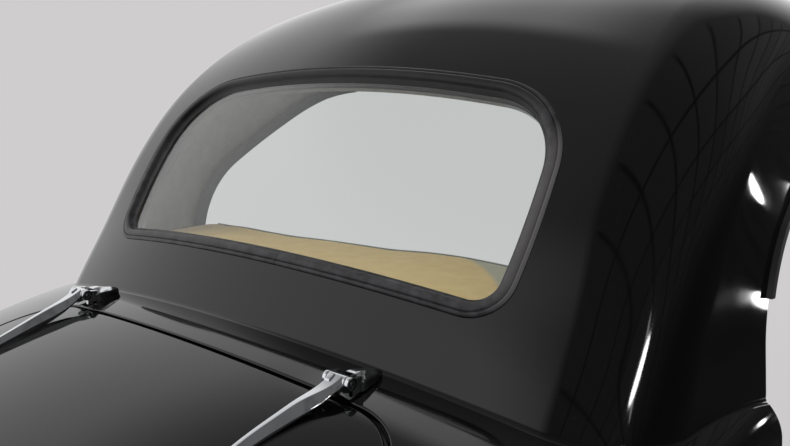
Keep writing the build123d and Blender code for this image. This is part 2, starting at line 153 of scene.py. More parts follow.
# Leaf on the body, up to its tip: the same columns, shifted to the right
LEAF = [
    (0, 0, 24.5, 24.5, 14.0, 5.0),
    (24, 6, 30.0, 19.5, 7.0, 9.0),
    (46, 12, 27.5, 11.5, 4.0, 8.0),
    (62, 15, 24.0, 5.5, 1.5, 4.0),
    (68, 16, 20.0, 2.5, 0.8, 2.0),
]

# Padded shelf: the board under it, where its front edge stands, and its height across the car
SHELF_TOP = 46.0
PAD_FRONT = 458.0
CROWN = [
    *[(-556, 74), (-520, 80), (-433, 85), (-240, 85), (-117, 92), (50, 96)],
    *[(150, 104), (220, 107), (303, 105), (430, 98), (520, 86), (556, 76)],
]


# ---- Forms and outlines


def unit(v):
    """Rows of vectors at a length of one."""
    return v / np.maximum(np.linalg.norm(v, axis=-1, keepdims=True), 1e-12)


class Curves:
    """Cubic curves through the columns of a table, smooth through every row."""

    def __init__(self, x, y):
        self.x, self.y = x, y
        n, h = len(x), np.diff(x)
        system, right = np.zeros((n, n)), np.zeros_like(y)
        for i in range(1, n - 1):
            system[i, i - 1 : i + 2] = h[i - 1], 2 * (h[i - 1] + h[i]), h[i]
            right[i] = 6 * ((y[i + 1] - y[i]) / h[i] - (y[i] - y[i - 1]) / h[i - 1])
        system[0, :3] = h[1], -(h[0] + h[1]), h[0]
        system[-1, -3:] = h[-1], -(h[-2] + h[-1]), h[-2]
        self.bend = np.linalg.solve(system, right)

    def __call__(self, t):
        x, y, m = self.x, self.y, self.bend
        t = np.clip(t, x[0], x[-1])
        i = np.clip(np.searchsorted(x, t) - 1, 0, len(x) - 2)
        h = (x[i + 1] - x[i])[:, None]
        u, v = (t - x[i])[:, None], (x[i + 1] - t)[:, None]
        curved = (m[i] * v**3 + m[i + 1] * u**3) / (6 * h)
        return curved + (y[i] / h - m[i] * h / 6) * v + (y[i + 1] / h - m[i + 1] * h / 6) * u


class Form:
    """A body form lofted through leaning sections of sides, corner arcs and a crown arc."""

    CROWN, CORNER = 0.46, 0.76

    def __init__(self, rows):
        rows = np.array(rows, float)
        ahead = rows[:, 0] * STACK[1] + rows[:, 1] * STACK[2]
        top = rows[:, 0] * RISE[1] + rows[:, 1] * RISE[2]
        self.reach = ahead[0], ahead[-1]
        columns = np.column_stack([top, rows[:, 2:5], np.radians(rows[:, 5])])
        self.table = Curves(ahead, columns)

    def section(self, ahead, inset):
        """Sizes of the sections, and where each corner arc starts."""
        top, crown, half, corner, lean = self.table(ahead).T
        top, crown, half, corner = top - inset, crown - inset, half - inset, corner - inset
        x = half - corner * np.cos(lean)
        h = top - crown + np.sqrt((crown - corner) ** 2 - x**2)
        join = np.arctan2(x, h - top + crown)
        return top, crown, half, corner, lean, x, h, join

    def points(self, uv, low, inset=0.0):
        """Points for rows of (distance along the stack, share across from -1 to 1)."""
        ahead, side = uv[:, 0], np.sign(uv[:, 1])
        share = np.abs(uv[:, 1])
        top, crown, half, corner, lean, cx, ch, join = self.section(ahead, inset)
        angle = join * np.minimum(share / self.CROWN, 1)
        x, h = crown * np.sin(angle), top - crown + crown * np.cos(angle)
        turn = np.clip((share - self.CROWN) / (self.CORNER - self.CROWN), 0, 1)
        angle = join + (pi / 2 - lean - join) * turn
        bend = share > self.CROWN
        x = np.where(bend, cx + corner * np.sin(angle), x)
        h = np.where(bend, ch + corner * np.cos(angle), h)
        side_h = ch + corner * np.sin(lean)
        foot = np.minimum((low - ahead * STACK[2]) / RISE[2], side_h - 1)
        down = np.clip((share - self.CORNER) / (1 - self.CORNER), 0, 1) * (side_h - foot)
        flat = share > self.CORNER
        x = np.where(flat, half + down * np.tan(lean), x)
        h = np.where(flat, side_h - down, h)
        return ahead[:, None] * STACK + h[:, None] * RISE + (x * side)[:, None] * (1, 0, 0)

    def within(self, p, inset=0.0):
        """Distance from the form in the plane of the section, below zero inside."""
        x, ahead, h = np.abs(p[:, 0]), p @ STACK, p @ RISE
        top, crown, half, corner, lean, cx, ch, join = self.section(ahead, inset)
        side_h = ch + corner * np.sin(lean)
        gap = (x - half) * np.cos(lean) + (h - side_h) * np.sin(lean)
        u, v = x - cx, h - ch
        gap = np.where(v * np.cos(lean) > u * np.sin(lean), np.hypot(u, v) - corner, gap)
        above = h - top + crown
        return np.where(np.arctan2(x, above) < join, np.hypot(x, above) - crown, gap)

    def slope(self, p):
        """How fast that distance grows, along each axis."""
        step = 0.5 * np.eye(3)
        return np.column_stack([self.within(p + s) - self.within(p - s) for s in step])

    def gap(self, p):
        """True distance from the form, near it."""
        return self.within(p) / np.linalg.norm(self.slope(p), axis=1)

    def normals(self, p):
        """Directions away from the form."""
        return unit(self.slope(p))


class Outline:
    """An outline of four bowed sides with rounded corners, from the lower left corner round."""

    def __init__(self, corners, bows, radii):
        corners = np.array(corners, float)
        self.sides, self.rounds = [], []
        for i in range(4):
            a, b = corners[i], corners[(i + 1) % 4]
            along = b - a
            out = unit(np.array((along[1], -along[0])))
            radius = 0.0
            if bows[i]:
                half = np.linalg.norm(along) / 2
                radius = (half**2 + bows[i] ** 2) / (2 * bows[i])
            self.sides.append((a, (a + b) / 2 + out * (bows[i] - radius), out, radius))
        for i in range(4):
            center = corners[i] * 1.0
            for _ in range(30):
                for j in (i - 1, i):
                    d, n = self.side(center[None], j)
                    center -= (d[0] + radii[i]) * n[0]
            normals = [self.side(center[None], j)[1][0] for j in (i - 1, i)]
            self.rounds.append((center, radii[i], *normals))

    def side(self, p, i):
        """Distance outside one side, and its direction outward."""
        a, center, out, radius = self.sides[i]
        if not radius:
            return (p - a) @ out, np.broadcast_to(out, p.shape)
        spoke = p - center
        turn = np.sign(radius)
        return turn * (np.linalg.norm(spoke, axis=1) - abs(radius)), unit(spoke) * turn

    def distance(self, p):
        """Distance from the outline, below zero inside it."""
        d = np.max([self.side(p, i)[0] for i in range(4)], axis=0)
        for center, radius, first, second in self.rounds:
            v = p - center
            after = first[0] * v[:, 1] > first[1] * v[:, 0]
            before = v[:, 0] * second[1] > v[:, 1] * second[0]
            d = np.where(after & before, np.linalg.norm(v, axis=1) - radius, d)
        return d

    def path(self, step):
        """Points round the outline, and the direction outward at each."""
        points, outs = [], []
        for i, (center, radius, first, second) in enumerate(self.rounds):
            start, end = atan2(first[1], first[0]), atan2(second[1], second[0])
            end += 2 * pi * (end < start)
            for angle in np.linspace(start, end, ceil((end - start) * radius / step) + 1):
                out = np.array((cos(angle), sin(angle)))
                points.append(center + radius * out)
                outs.append(out)
            ahead = self.rounds[(i + 1) % 4]
            goal = ahead[0] + ahead[1] * ahead[2]
            count = ceil(np.linalg.norm(goal - points[-1]) / step)
            run = points[-1] + (goal - points[-1]) * np.linspace(0, 1, count + 1)[1:-1, None]
            for _ in range(3):
                d, n = self.side(run, i)
                run = run - d[:, None] * n
            points.extend(run)
            outs.extend(self.side(run, i)[1])
        return np.array(points), np.array(outs)


class Window(Outline):
    """The back window's outline with the plane that it is drawn on."""

    origin = np.array((0.0, *GREENHOUSE[3][:2]))
    up = np.array((0.0, sin(WINDOW_LEAN), cos(WINDOW_LEAN)))
    out = np.array((0.0, -cos(WINDOW_LEAN), sin(WINDOW_LEAN)))

    def flat(self, p):
        """Points as seen square to the window's plane."""
        return np.column_stack([p[:, 0], (p - self.origin) @ self.up])

    def on(self, form, flat, depth):
        """Points of the window's plane dropped onto a form, then raised along its normal."""
        p = self.origin + flat[:, :1] * (1, 0, 0) + flat[:, 1:] * self.up
        for _ in range(8):
            rate = form.slope(p) @ self.out
            p = p - (form.within(p) / rate)[:, None] * self.out
        return p + np.asarray(depth)[..., None] * self.out


def arc(center, first, last, count):
    """Points round a center in a plane, from one spoke to another."""
    turn = atan2(first[0] * last[1] - first[1] * last[0], first @ last)
    c, s = (f(turn * np.linspace(0, 1, count)) for f in (np.cos, np.sin))
    return center + np.column_stack([c * first[0] - s * first[1], s * first[0] + c * first[1]])


def door_path():
    """The door opening's rear edge and the arcs over it, in side view."""
    points = [np.array((LOCK_PILLAR_Y, -DOOR_FAR)), np.array((LOCK_PILLAR_Y, DOOR_CORNER_Z))]
    tangent = np.array((0.0, 1.0))
    for goal in np.array(DOOR_ARCS, float):
        start = points[-1]
        left, chord = np.array((-tangent[1], tangent[0])), goal - start
        radius = chord @ chord / (2 * (chord @ left))
        center = start + left * radius
        points.extend(arc(center, start - center, goal - center, 25)[1:])
        tangent = np.array((center[1] - goal[1], goal[0] - center[0])) / radius
    points.append(points[-1] + (DOOR_FAR, 0.0))
    return np.array(points)


DOOR = door_path()


def door_gap(p):
    """Distance from the door opening in side view, below zero inside it."""
    q = p[:, 1:]
    best, sign = np.full(len(q), 1e9), np.ones(len(q))
    for a, b in zip(DOOR[:-1], DOOR[1:]):
        along = b - a
        share = np.clip((q - a) @ along / (along @ along), 0, 1)
        off = q - a - share[:, None] * along
        d = np.hypot(off[:, 0], off[:, 1])
        side = np.where(along[0] * (q[:, 1] - a[1]) > along[1] * (q[:, 0] - a[0]), 1, -1)
        near = d < best - 1e-9
        best, sign = np.where(near, d, best), np.where(near, side, sign)
    return best * sign


greenhouse, body = Form(GREENHOUSE), Form(BODY)
window = Window(WINDOW_CORNERS, WINDOW_BOWS, WINDOW_RADII)
lid = Outline(LID_CORNERS, [0, 0, 0, 0], LID_RADII)


def window_gap(p):
    """Distance from the window's outline, below zero inside it."""
    return window.distance(window.flat(p))


def lid_gap(p):
    """Distance from the lid's outline, below zero inside it."""
    return lid.distance(np.column_stack([p[:, 0], p @ STACK]))


def arch_gap(p):
    """Distance from the wheel arch in side view, below zero inside it."""
    return np.hypot(p[:, 1] - WHEEL[0], p[:, 2] - WHEEL[1]) - ARCH_R


# ---- Skins cut from the forms


class Skin:
    """A fine mesh on a form, cut by lines on which a distance is zero."""

    # Length of a section from its middle to its foot, which sets the mesh's columns
    GIRTH = 1150.0

    # A cut's points are brought to it in rounds, and stay off the mesh's own by a share of an edge
    ROUNDS = 4
    KEEP_OFF = 0.02

    # Shorter runs of an edge are slivers and get no strip
    SHORTEST_RUN = 5

    def __init__(self, form, reach, half, step, low, inset=0.0):
        self.form, self.low, self.inset = form, low, inset
        rows = ceil((reach[1] - reach[0]) / step)
        columns = 2 * ceil(half * self.GIRTH / step)
        u, v = np.linspace(*reach, rows + 1), np.linspace(-half, half, columns + 1)
        grid = np.stack(np.meshgrid(u, v, indexing="ij"), -1)
        self.uv = grid.reshape(-1, 2)
        i = np.arange(rows)[:, None] * (columns + 1) + np.arange(columns)
        a, b, c, d = i, i + 1, i + columns + 2, i + columns + 1
        halves = [np.stack(corners, -1).reshape(-1, 3) for corners in ((a, b, c), (a, c, d))]
        self.faces = np.concatenate(halves)
        self.marks = np.zeros(len(self.uv), int)
        self.cuts = 0

    def points(self, uv=None):
        """The mesh's points, or those for other rows of uv."""
        return self.form.points(self.uv if uv is None else uv, self.low, self.inset)

    def cut(self, test):
        """Keeps what lies where test is above zero, and returns the mark of the new edge."""
        self.cuts += 1
        bit = 1 << self.cuts
        g = test(self.points())
        keep = g >= 0
        count = keep[self.faces].sum(1)
        crossed = (count == 1) | (count == 2)
        cut, one = self.faces[crossed], count[crossed] == 1
        first = np.where(one[:, None], keep[cut], ~keep[cut]).argmax(1)
        a, b, c = (cut[np.arange(len(cut)), (first + k) % 3] for k in range(3))
        pairs = np.sort(np.concatenate([np.stack([a, b], 1), np.stack([a, c], 1)]), 1)
        edges, where = np.unique(pairs, axis=0, return_inverse=True)
        ab, ac = where.reshape(2, -1) + len(self.uv)
        ends, values = self.uv[edges.T], g[edges.T]
        for _ in range(self.ROUNDS):
            share = values[0] / (values[0] - values[1])
            share = np.clip(share, self.KEEP_OFF, 1 - self.KEEP_OFF)
            middle = ends[0] + (ends[1] - ends[0]) * share[:, None]
            value = test(self.points(middle))
            near = ((value >= 0) != (values[0] >= 0)).astype(int), np.arange(len(edges))
            ends[near], values[near] = middle, value
        share = values[0] / (values[0] - values[1])
        middle = ends[0] + (ends[1] - ends[0]) * share[:, None]
        marks = self.marks[edges.T]
        self.marks = np.concatenate([self.marks, (marks[0] & marks[1]) | bit])
        self.uv = np.concatenate([self.uv, middle])
        parts = (a, ab, ac, one), (ab, b, c, ~one), (ab, c, ac, ~one)
        parts = [np.stack(corners, 1)[kept] for *corners, kept in parts]
        self.faces = np.concatenate([self.faces[count == 3], *parts])
        return bit

    def rims(self, bit):
        """The runs of corners along the edge that a cut made, with the skin on their left."""
        f = self.faces
        edges = np.concatenate([f[:, [0, 1]], f[:, [1, 2]], f[:, [2, 0]]])
        size = len(self.uv)
        key, back = edges[:, 0] * size + edges[:, 1], edges[:, 1] * size + edges[:, 0]
        edges = edges[~np.isin(key, back)]
        marked = (self.marks[edges] & bit).all(1)
        ahead = dict(edges[marked].tolist())
        starts = sorted(set(ahead) - set(ahead.values()))
        runs = []
        while ahead:
            at = starts.pop() if starts else next(iter(ahead))
            run = [at]
            while at in ahead:
                at = ahead.pop(at)
                run.append(at)
            runs.append(run)
        return [run for run in runs if len(run) >= self.SHORTEST_RUN]

    def piece(self, flip=False):
        """Points, faces and normals of what is left."""
        used, faces = np.unique(self.faces, return_inverse=True)
        p = self.points(self.uv[used])
        n = self.form.normals(p)
        faces = faces.reshape(-1, 3)
        return (p, faces[:, ::-1], -n) if flip else (p, faces, n)


def even(points, normals, step):
    """A run of points set out again at even steps, closed if its ends meet."""
    along = np.concatenate([[0], np.cumsum(np.linalg.norm(np.diff(points, axis=0), axis=1))])
    at = np.linspace(0, along[-1], max(3, ceil(along[-1] / step)) + 1)
    spread = [np.interp(at, along, column) for column in np.hstack([points, normals]).T]
    spread = np.array(spread).T
    return spread[:, :3], unit(spread[:, 3:])


def lattice(rows, columns):
    """Faces of a strip of rows of points, each row one step further out."""
    i = np.arange(rows - 1)[:, None] * columns + np.arange(columns - 1)
    return np.stack([i, i + columns, i + columns + 1, i + 1], -1).reshape(-1, 4)


def strip(points, normals, profile):
    """Carries an edge on by a profile of (out, down, lean of the surface from level)."""
    along = np.gradient(points, axis=0)
    if np.linalg.norm(points[0] - points[-1]) < 1e-3:
        along[0] = along[-1] = points[1] - points[-2]
    out = unit(np.cross(along, normals))
    p = [points + out * o - normals * d for o, d, _ in profile]
    n = [out * sin(lean) + normals * cos(lean) for _, _, lean in profile]
    return np.concatenate(p), lattice(len(profile), len(points)), np.concatenate(n)


def rolled(radius, depth, count=6):
    """Profile of an edge rolled over by a quarter turn and carried down."""
    angles = [pi / 2 * i / count for i in range(count + 1)]
    return [(radius * sin(a), radius * (1 - cos(a)), a) for a in angles] + [(radius, depth, pi / 2)]


def rounded(corners, radii, count=5, most=0.45):
    """A closed line whose corners are turned by arcs, its first point repeated at the end.

    An arc takes up to that share of each of its two sides.
    """
    corners, line = np.array(corners, float), []
    for i, b in enumerate(corners):
        a, c = corners[i - 1], corners[(i + 1) % len(corners)]
        u, v = unit(a - b), unit(c - b)
        half = np.arccos(np.clip(u @ v, -1, 1)) / 2
        room = [most * np.linalg.norm(end - b) for end in (a, c)]
        reach = min(radii[i] / tan(half), *room)
        radius = reach * tan(half)
        center = b + unit(u + v) * radius / sin(half)
        line.extend(arc(center, b + u * reach - center, b + v * reach - center, count))
    return np.array(line + line[:1])


def band(rings):
    """Points, faces and normals of a skin through closed rings."""
    across, along = np.gradient(rings, axis=0), np.gradient(rings, axis=1)
    along[:, 0] = along[:, -1] = rings[:, 1] - rings[:, -2]
    normals = unit(np.cross(across, along))
    return rings.reshape(-1, 3), lattice(*rings.shape[:2]), normals.reshape(-1, 3)


def tube(rings, ends=(True, True)):
    """Closed rings joined to a skin, with flat ends, all facing outward."""
    rings = np.array(rings)
    centers = rings[:, :-1].mean(1)
    points, faces, normals = band(rings)
    if np.sum(normals * (rings - centers[:, None]).reshape(-1, 3)) < 0:
        normals, faces = -normals, faces[:, ::-1]
    pieces = [(points, faces, normals)]
    for at, inward in ((0, 1), (-1, -2)):
        if not ends[at]:
            continue
        out = unit(centers[at] - centers[inward])
        ring = rings[at][:-1]
        spin = np.cross(ring - centers[at], np.roll(ring, -1, 0) - centers[at]).sum(0) @ out
        i = np.arange(len(ring))
        fan = np.stack([i, np.roll(i, -1), np.full(len(ring), len(ring))], 1)
        points = np.vstack([ring, centers[at]])
        pieces.append((points, fan if spin > 0 else fan[:, ::-1], np.tile(out, (len(points), 1))))
    return pieces


LEAST_R = 0.05


def turned(center, profile, count=28, ends=(True, True)):
    """A shape turned about the X axis, from (x, radius) along it."""
    angles = np.linspace(0, 2 * pi, count + 1)
    spokes = np.column_stack([np.zeros(count + 1), np.cos(angles), np.sin(angles)])
    center = np.array(center)
    rings = [center + (x, 0, 0) + spokes * max(radius, LEAST_R) for x, radius in profile]
    return tube(rings, ends)


def height(form, x, y, flattest=0.2):
    """Height of a form's surface over points of the ground plan."""
    p = np.column_stack([np.asarray(x, float), np.asarray(y, float), np.zeros(len(x))])
    for _ in range(20):
        rate = form.slope(p)[:, 2]
        p[:, 2] -= form.within(p) / np.where(np.abs(rate) < flattest, flattest, rate)
    return p[:, 2]


def make(name, pieces, body_name, slot, *nodes):
    """One object of several surfaces with their own normals, on a body of the frame."""
    points, faces, normals, start = [], [], [], 0
    for p, f, n in pieces:
        points.append(p)
        normals.append(n)
        faces.extend((f + start).tolist())
        start += len(p)
    points = (np.concatenate(points) + DECK) * MM
    mesh = bpy.data.meshes.new(name)
    mesh.from_pydata(points.tolist(), [], faces)
    mesh.shade_smooth()
    mesh.normals_split_custom_set_from_vertices(unit(np.concatenate(normals)).tolist())
    return place(name, mesh, body_name, slot, *nodes)


def place(name, mesh, body_name, slot, *nodes):
    """An object for a mesh in its slot's finish, riding on its body and standing for its nodes."""
    piece = bpy.data.objects.new(name, mesh)
    bpy.context.collection.objects.link(piece)
    mesh.materials.append(finish(slot))
    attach(piece, body_name)
    if nodes:
        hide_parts(*nodes)
    return piece


# ---- Finishes


def linear(code):
    """An sRGB hex colour as linear values, with an alpha of one."""
    levels = [int(code[i : i + 2], 16) / 255 for i in (1, 3, 5)]
    return (*[v / 12.92 if v <= 0.04045 else ((v + 0.055) / 1.055) ** 2.4 for v in levels], 1.0)


def per_metre(size):
    """Scale of a pattern whose features are that many millimetres apart."""
    return 1000.0 / size


def add(tree, kind, inputs=(), out=0, stops=(), **settings):
    """Adds a node with its settings and links; returns one output, or all of them for None."""
    item = tree.nodes.new("ShaderNode" + kind)
    for name, value in settings.items():
        setattr(item, name, value)
    for name, value in inputs.items() if isinstance(inputs, dict) else enumerate(inputs):
        if isinstance(value, bpy.types.NodeSocket):
            tree.links.new(value, item.inputs[name])
        else:
            item.inputs[name].default_value = linear(value) if isinstance(value, str) else value
    for i, (at, colour) in enumerate(stops):
        spot = item.color_ramp.elements[i]
        spot.position, spot.color = at, linear(colour) if isinstance(colour, str) else colour
    return item.outputs if out is None else item.outputs[out]


def begin(name):
    """A new material with its empty tree and object coordinates."""
    material = bpy.data.materials.new(name)
    material.use_nodes = True
    tree = material.node_tree
    tree.nodes.clear()
    return material, tree, add(tree, "TexCoord", out="Object")


def surface(material, kind, inputs):
    """Gives a material its surface, from a shader and its inputs."""
    tree = material.node_tree
    add(tree, "OutputMaterial", (add(tree, kind, inputs),), None)
    return material


def black_enamel(colour):
    """Sprayed and polished black enamel: deep gloss, with faint orange peel and dust.

    The dust is drawn coarser than it is, so that it shows.
    """
    material, tree, coords = begin("sprayed_black_enamel")
    peel = add(tree, "TexNoise", (coords, 0, per_metre(6), 2))
    haze = add(tree, "TexNoise", (coords, 0, per_metre(90), 4))
    dust = add(tree, "TexNoise", (coords, 0, per_metre(2.2), 1))
    inputs = {
        "Base Color": add(tree, "ValToRGB", (dust,), stops=[(0.70, colour), (0.78, "#1b1b1c")]),
        "Roughness": add(tree, "MapRange", (haze, 0.3, 0.7, 0.035, 0.075)),
        "IOR": 1.5,
        "Normal": add(tree, "Bump", {"Height": peel, "Distance": 0.004 * MM}),
    }
    return surface(material, "BsdfPrincipled", inputs)


def satin_black(colour):
    """Brushed-on satin black for the inner sheet metal: soft sheen, slightly uneven."""
    material, tree, coords = begin("satin_black_paint")
    patch = add(tree, "TexNoise", (coords, 0, per_metre(60), 5))
    grain = add(tree, "TexNoise", (coords, 0, per_metre(1.6), 3))
    inputs = {
        "Base Color": add(tree, "ValToRGB", (patch,), stops=[(0.3, colour), (0.75, "#2b2b2d")]),
        "Roughness": 0.42,
        "IOR": 1.5,
        "Normal": add(tree, "Bump", {"Height": grain, "Distance": 0.03 * MM}),
    }
    return surface(material, "BsdfPrincipled", inputs)


def chrome_plate():
    """Plated and buffed chrome: mirror bright, with the faintest buffing haze and ripple."""
    material, tree, coords = begin("buffed_chrome_plate")
    haze = add(tree, "TexNoise", (coords, 0, per_metre(14), 4))
    ripple = add(tree, "TexNoise", (coords, 0, per_metre(2.6), 4, 0.65))
    inputs = {
        "Base Color": "#dfe1e4",
        "Metallic": 1.0,
        "Roughness": add(tree, "MapRange", (haze, 0.35, 0.7, 0.04, 0.14)),
        "Normal": add(tree, "Bump", {"Height": ripple, "Distance": 0.05 * MM}),
    }
    return surface(material, "BsdfPrincipled", inputs)


def zinc_steel():
    """Zinc plated steel of latch, catch and pins: dull grey crystals."""
    material, tree, coords = begin("zinc_plated_steel")
    grain = add(tree, "TexVoronoi", (coords, 0, per_metre(3)))
    shade = add(tree, "ValToRGB", (grain,), stops=[(0.1, "#a7a9ac"), (0.7, "#8b8e92")])
    inputs = {"Base Color": shade, "Metallic": 1.0, "Roughness": 0.38}
    return surface(material, "BsdfPrincipled", inputs)


def aged_rubber(colour):
    """Extruded black rubber: matt, greyed by weather, with painted shade and light on the seal and
    a grain drawn coarse enough to show.
    """
    material, tree, coords = begin("extruded_black_rubber")
    bloom = add(tree, "TexNoise", (coords, 0, per_metre(22), 6, 0.65))
    grain = add(tree, "TexNoise", (coords, 0, per_metre(0.9), 2))
    shade = add(tree, "ValToRGB", (bloom,), stops=[(0.35, colour), (0.75, "#454346")])
    inputs = {
        # Painted shade on the seal's top and painted light on its right side, with the dark line of
        # its joint
        "Base Color": painted_seal_light_and_joint(tree, coords, shade),
        "Roughness": 0.42,
        "Specular IOR Level": 0.35,
        "Normal": add(tree, "Bump", {"Height": grain, "Distance": 0.04 * MM}),
    }
    return surface(material, "BsdfPrincipled", inputs)


def painted_seal_light_and_joint(tree, coords, tone):
    """Painted shade darkens the seal's top and painted light greys its right side; its ends meet in
    a dark line.
    """
    x, _, z = add(tree, "SeparateXYZ", (coords,), None)
    # Painted light: the seal's right side is greyed towards this light tone
    painted_light_right = add(tree, "MapRange", (x, 0.46, 0.49, 0, 1))
    grey = add(tree, "Mix", {"Factor": painted_light_right, 6: tone, 7: "#5a5859"}, 2, data_type="RGBA")
    # Painted shade: the seal's top is darkened, except on its right side
    high = add(tree, "MapRange", (z, 0.78, 0.92, 0, 0.85))
    aside = add(tree, "MapRange", (x, 0.38, 0.47, 1, 0))
    deep = add(tree, "Math", (high, aside), operation="MULTIPLY", use_clamp=True)
    # The dark line where the seal's ends meet, on its lower part, is the rubber's own
    joint = add(tree, "Math", (x, 68 * MM, 1.4 * MM), operation="COMPARE")
    low = add(tree, "Math", (z, 0.75), operation="LESS_THAN")
    joint = add(tree, "Math", (joint, low), operation="MULTIPLY")
    # Painted shade and the joint's dark line share one dark colour
    share = add(tree, "Math", (deep, joint), operation="MAXIMUM")
    return add(tree, "Mix", {"Factor": share, 6: grey, 7: "#09090a"}, 2, data_type="RGBA")


def window_glass():
    """Laminated window glass: clear and faintly green; the lamps' light passes straight through."""
    material, tree, _ = begin("laminated_glass")
    inputs = {"Base Color": "#f1f7f4", "Roughness": 0.0, "IOR": 1.5, "Transmission Weight": 1.0}
    pane = add(tree, "BsdfPrincipled", inputs)
    clear = add(tree, "BsdfTransparent", ("#e9efec",))
    path = add(tree, "LightPath", out=None)
    lit = add(tree, "Math", (path["Is Shadow Ray"], path["Is Diffuse Ray"]), operation="MAXIMUM")
    return surface(material, "MixShader", (lit, pane, clear))


def brushed_cloth(colour, shade, name, corner_grey=None):
    """Napped cloth over padding: soft, with worn patches and a weave coarse enough to show."""
    material, tree, coords = begin(name)
    nap = add(tree, "TexNoise", (coords, 0, per_metre(30), 5, 0.6))
    fibre = add(tree, "TexNoise", (coords, 0, per_metre(1.4), 3, 0.7))
    blend = add(tree, "Mix", {"Factor": 0.45, "A": nap, "B": fibre}, data_type="FLOAT")
    tone = add(tree, "ValToRGB", (blend,), stops=[(0.36, shade), (0.64, colour)])
    inputs = {
        "Base Color": grey_corner(tree, coords, tone, corner_grey) if corner_grey else tone,
        "Roughness": 0.95,
        "Sheen Weight": 0.35,
        "Sheen Roughness": 0.5,
        "Specular IOR Level": 0.2,
        "Normal": add(tree, "Bump", {"Height": fibre, "Distance": 0.5 * MM}),
    }
    return surface(material, "BsdfPrincipled", inputs)


# A grey tone laid over the shelf's front right corner, beyond a curved line
def grey_corner(tree, coords, tone, corner_grey):
    """The shelf's front right corner, greyed beyond a curved line."""
    x, y, _ = add(tree, "SeparateXYZ", (coords,), None)
    aside = add(tree, "Math", (x, -0.09), operation="ADD", use_clamp=True)
    square = add(tree, "Math", (aside, aside), operation="MULTIPLY")
    line = add(tree, "Math", (square, 1.862, y), operation="MULTIPLY_ADD")
    share = add(tree, "MapRange", (line, 0.708, 0.724, 0, 1))
    return add(tree, "Mix", {"Factor": share, 6: tone, 7: corner_grey}, 2, data_type="RGBA")


def satin_garnish(colour):
    """Painted garnish moulding: dark grey with a low sheen."""
    material, tree, coords = begin("painted_garnish")
    patch = add(tree, "TexNoise", (coords, 0, per_metre(80), 3))
    peel = add(tree, "TexNoise", (coords, 0, per_metre(4), 3))
    inputs = {
        "Base Color": add(tree, "ValToRGB", (patch,), stops=[(0.3, colour), (0.7, "#504e54")]),
        "Roughness": 0.35,
        "Normal": add(tree, "Bump", {"Height": peel, "Distance": 0.02 * MM}),
    }
    return surface(material, "BsdfPrincipled", inputs)


def raw_board():
    """Pressed board under the shelf: brown, with coarse fibres."""
    material, tree, coords = begin("pressed_board")
    along = add(tree, "Mapping", {"Vector": coords, "Scale": (0.25, 1.0, 1.0)})
    fibre = add(tree, "TexNoise", (along, 0, per_metre(5), 6))
    shade = add(tree, "ValToRGB", (fibre,), stops=[(0.35, "#54402c"), (0.7, "#7d6245")])
    return surface(material, "BsdfPrincipled", {"Base Color": shade, "Roughness": 0.85})


# ---- Values a user would change


def user_length(name, description, default):
    """A size that a user would change, kept in metres."""
    texts = {"name": name, "description": description}
    return bpy.props.FloatProperty(**texts, default=default, unit="LENGTH")


def user_colour(name, description, code):
    """A colour that a user would change."""
    texts = {"name": name, "description": description, "subtype": "COLOR"}
    return bpy.props.FloatVectorProperty(**texts, size=4, min=0, max=1, default=linear(code))


class CoupeSizes(bpy.types.PropertyGroup):
    edge_radius: user_length("Edge radius", "Roll of the sheet metal's edges", 0.0035)
    crease_height: user_length("Crease", "Height where the crease under the window starts", 0.005)
    mesh_step: user_length("Mesh step", "Spacing of the skins' meshes", 0.009)


class CoupeColours(bpy.types.PropertyGroup):
    paint: user_colour("Paint", "Body enamel", "#060607")
    inner: user_colour("Inner paint", "Inner sheet metal", "#1a1a1b")
    rubber: user_colour("Rubber", "Window seal and weatherstrip", "#232224")
    shelf: user_colour("Shelf cloth", "Padded shelf", "#ffd388")
    trim: user_colour("Trim cloth", "Headliner and side trim", "#8a8780")
    garnish: user_colour("Garnish", "Band round the back window", "#6a686d")
    backdrop: user_colour("Backdrop", "Studio wall and floor", "#cfcdce")


def size(name):
    """One of the user's sizes, in millimetres."""
    return round(getattr(bpy.context.scene.coupe_sizes, name) / MM, 4)


FINISHES = {}


def finish(name):
    """Each finish is made once and shared."""
    c = bpy.context.scene.coupe_colours
    makers = {
        "body_paint": lambda: black_enamel(c.paint),
        "inner_paint": lambda: satin_black(c.inner),
        "chrome": chrome_plate,
        "steel": zinc_steel,
        "rubber": lambda: aged_rubber(c.rubber),
        "window_glass": window_glass,
        "shelf_cloth": lambda: brushed_cloth(c.shelf, "#f2bd70", "napped_tan_cloth", "#c4b49c"),
        "board": raw_board,
        "trim_cloth": lambda: brushed_cloth(c.trim, "#6f6c66", "grey_trim_cloth"),
        "garnish": lambda: satin_garnish(c.garnish),
    }
    if name not in FINISHES:
        FINISHES[name] = makers[name]()
    return FINISHES[name]


# ---- Pieces


def edge_strips(skin, bit, radius, depth, step=6.0):
    """Rolled edges along all runs of one cut, none of them below the sill."""
    made = []
    for run in skin.rims(bit):
        p = skin.points(skin.uv[run])
        p, n = even(p, skin.form.normals(p), step)
        points, faces, normals = strip(p, n, rolled(radius, depth))
        points[:, 2] = np.maximum(points[:, 2], SILL_Z)
        made.append((points, faces, normals))
    return made


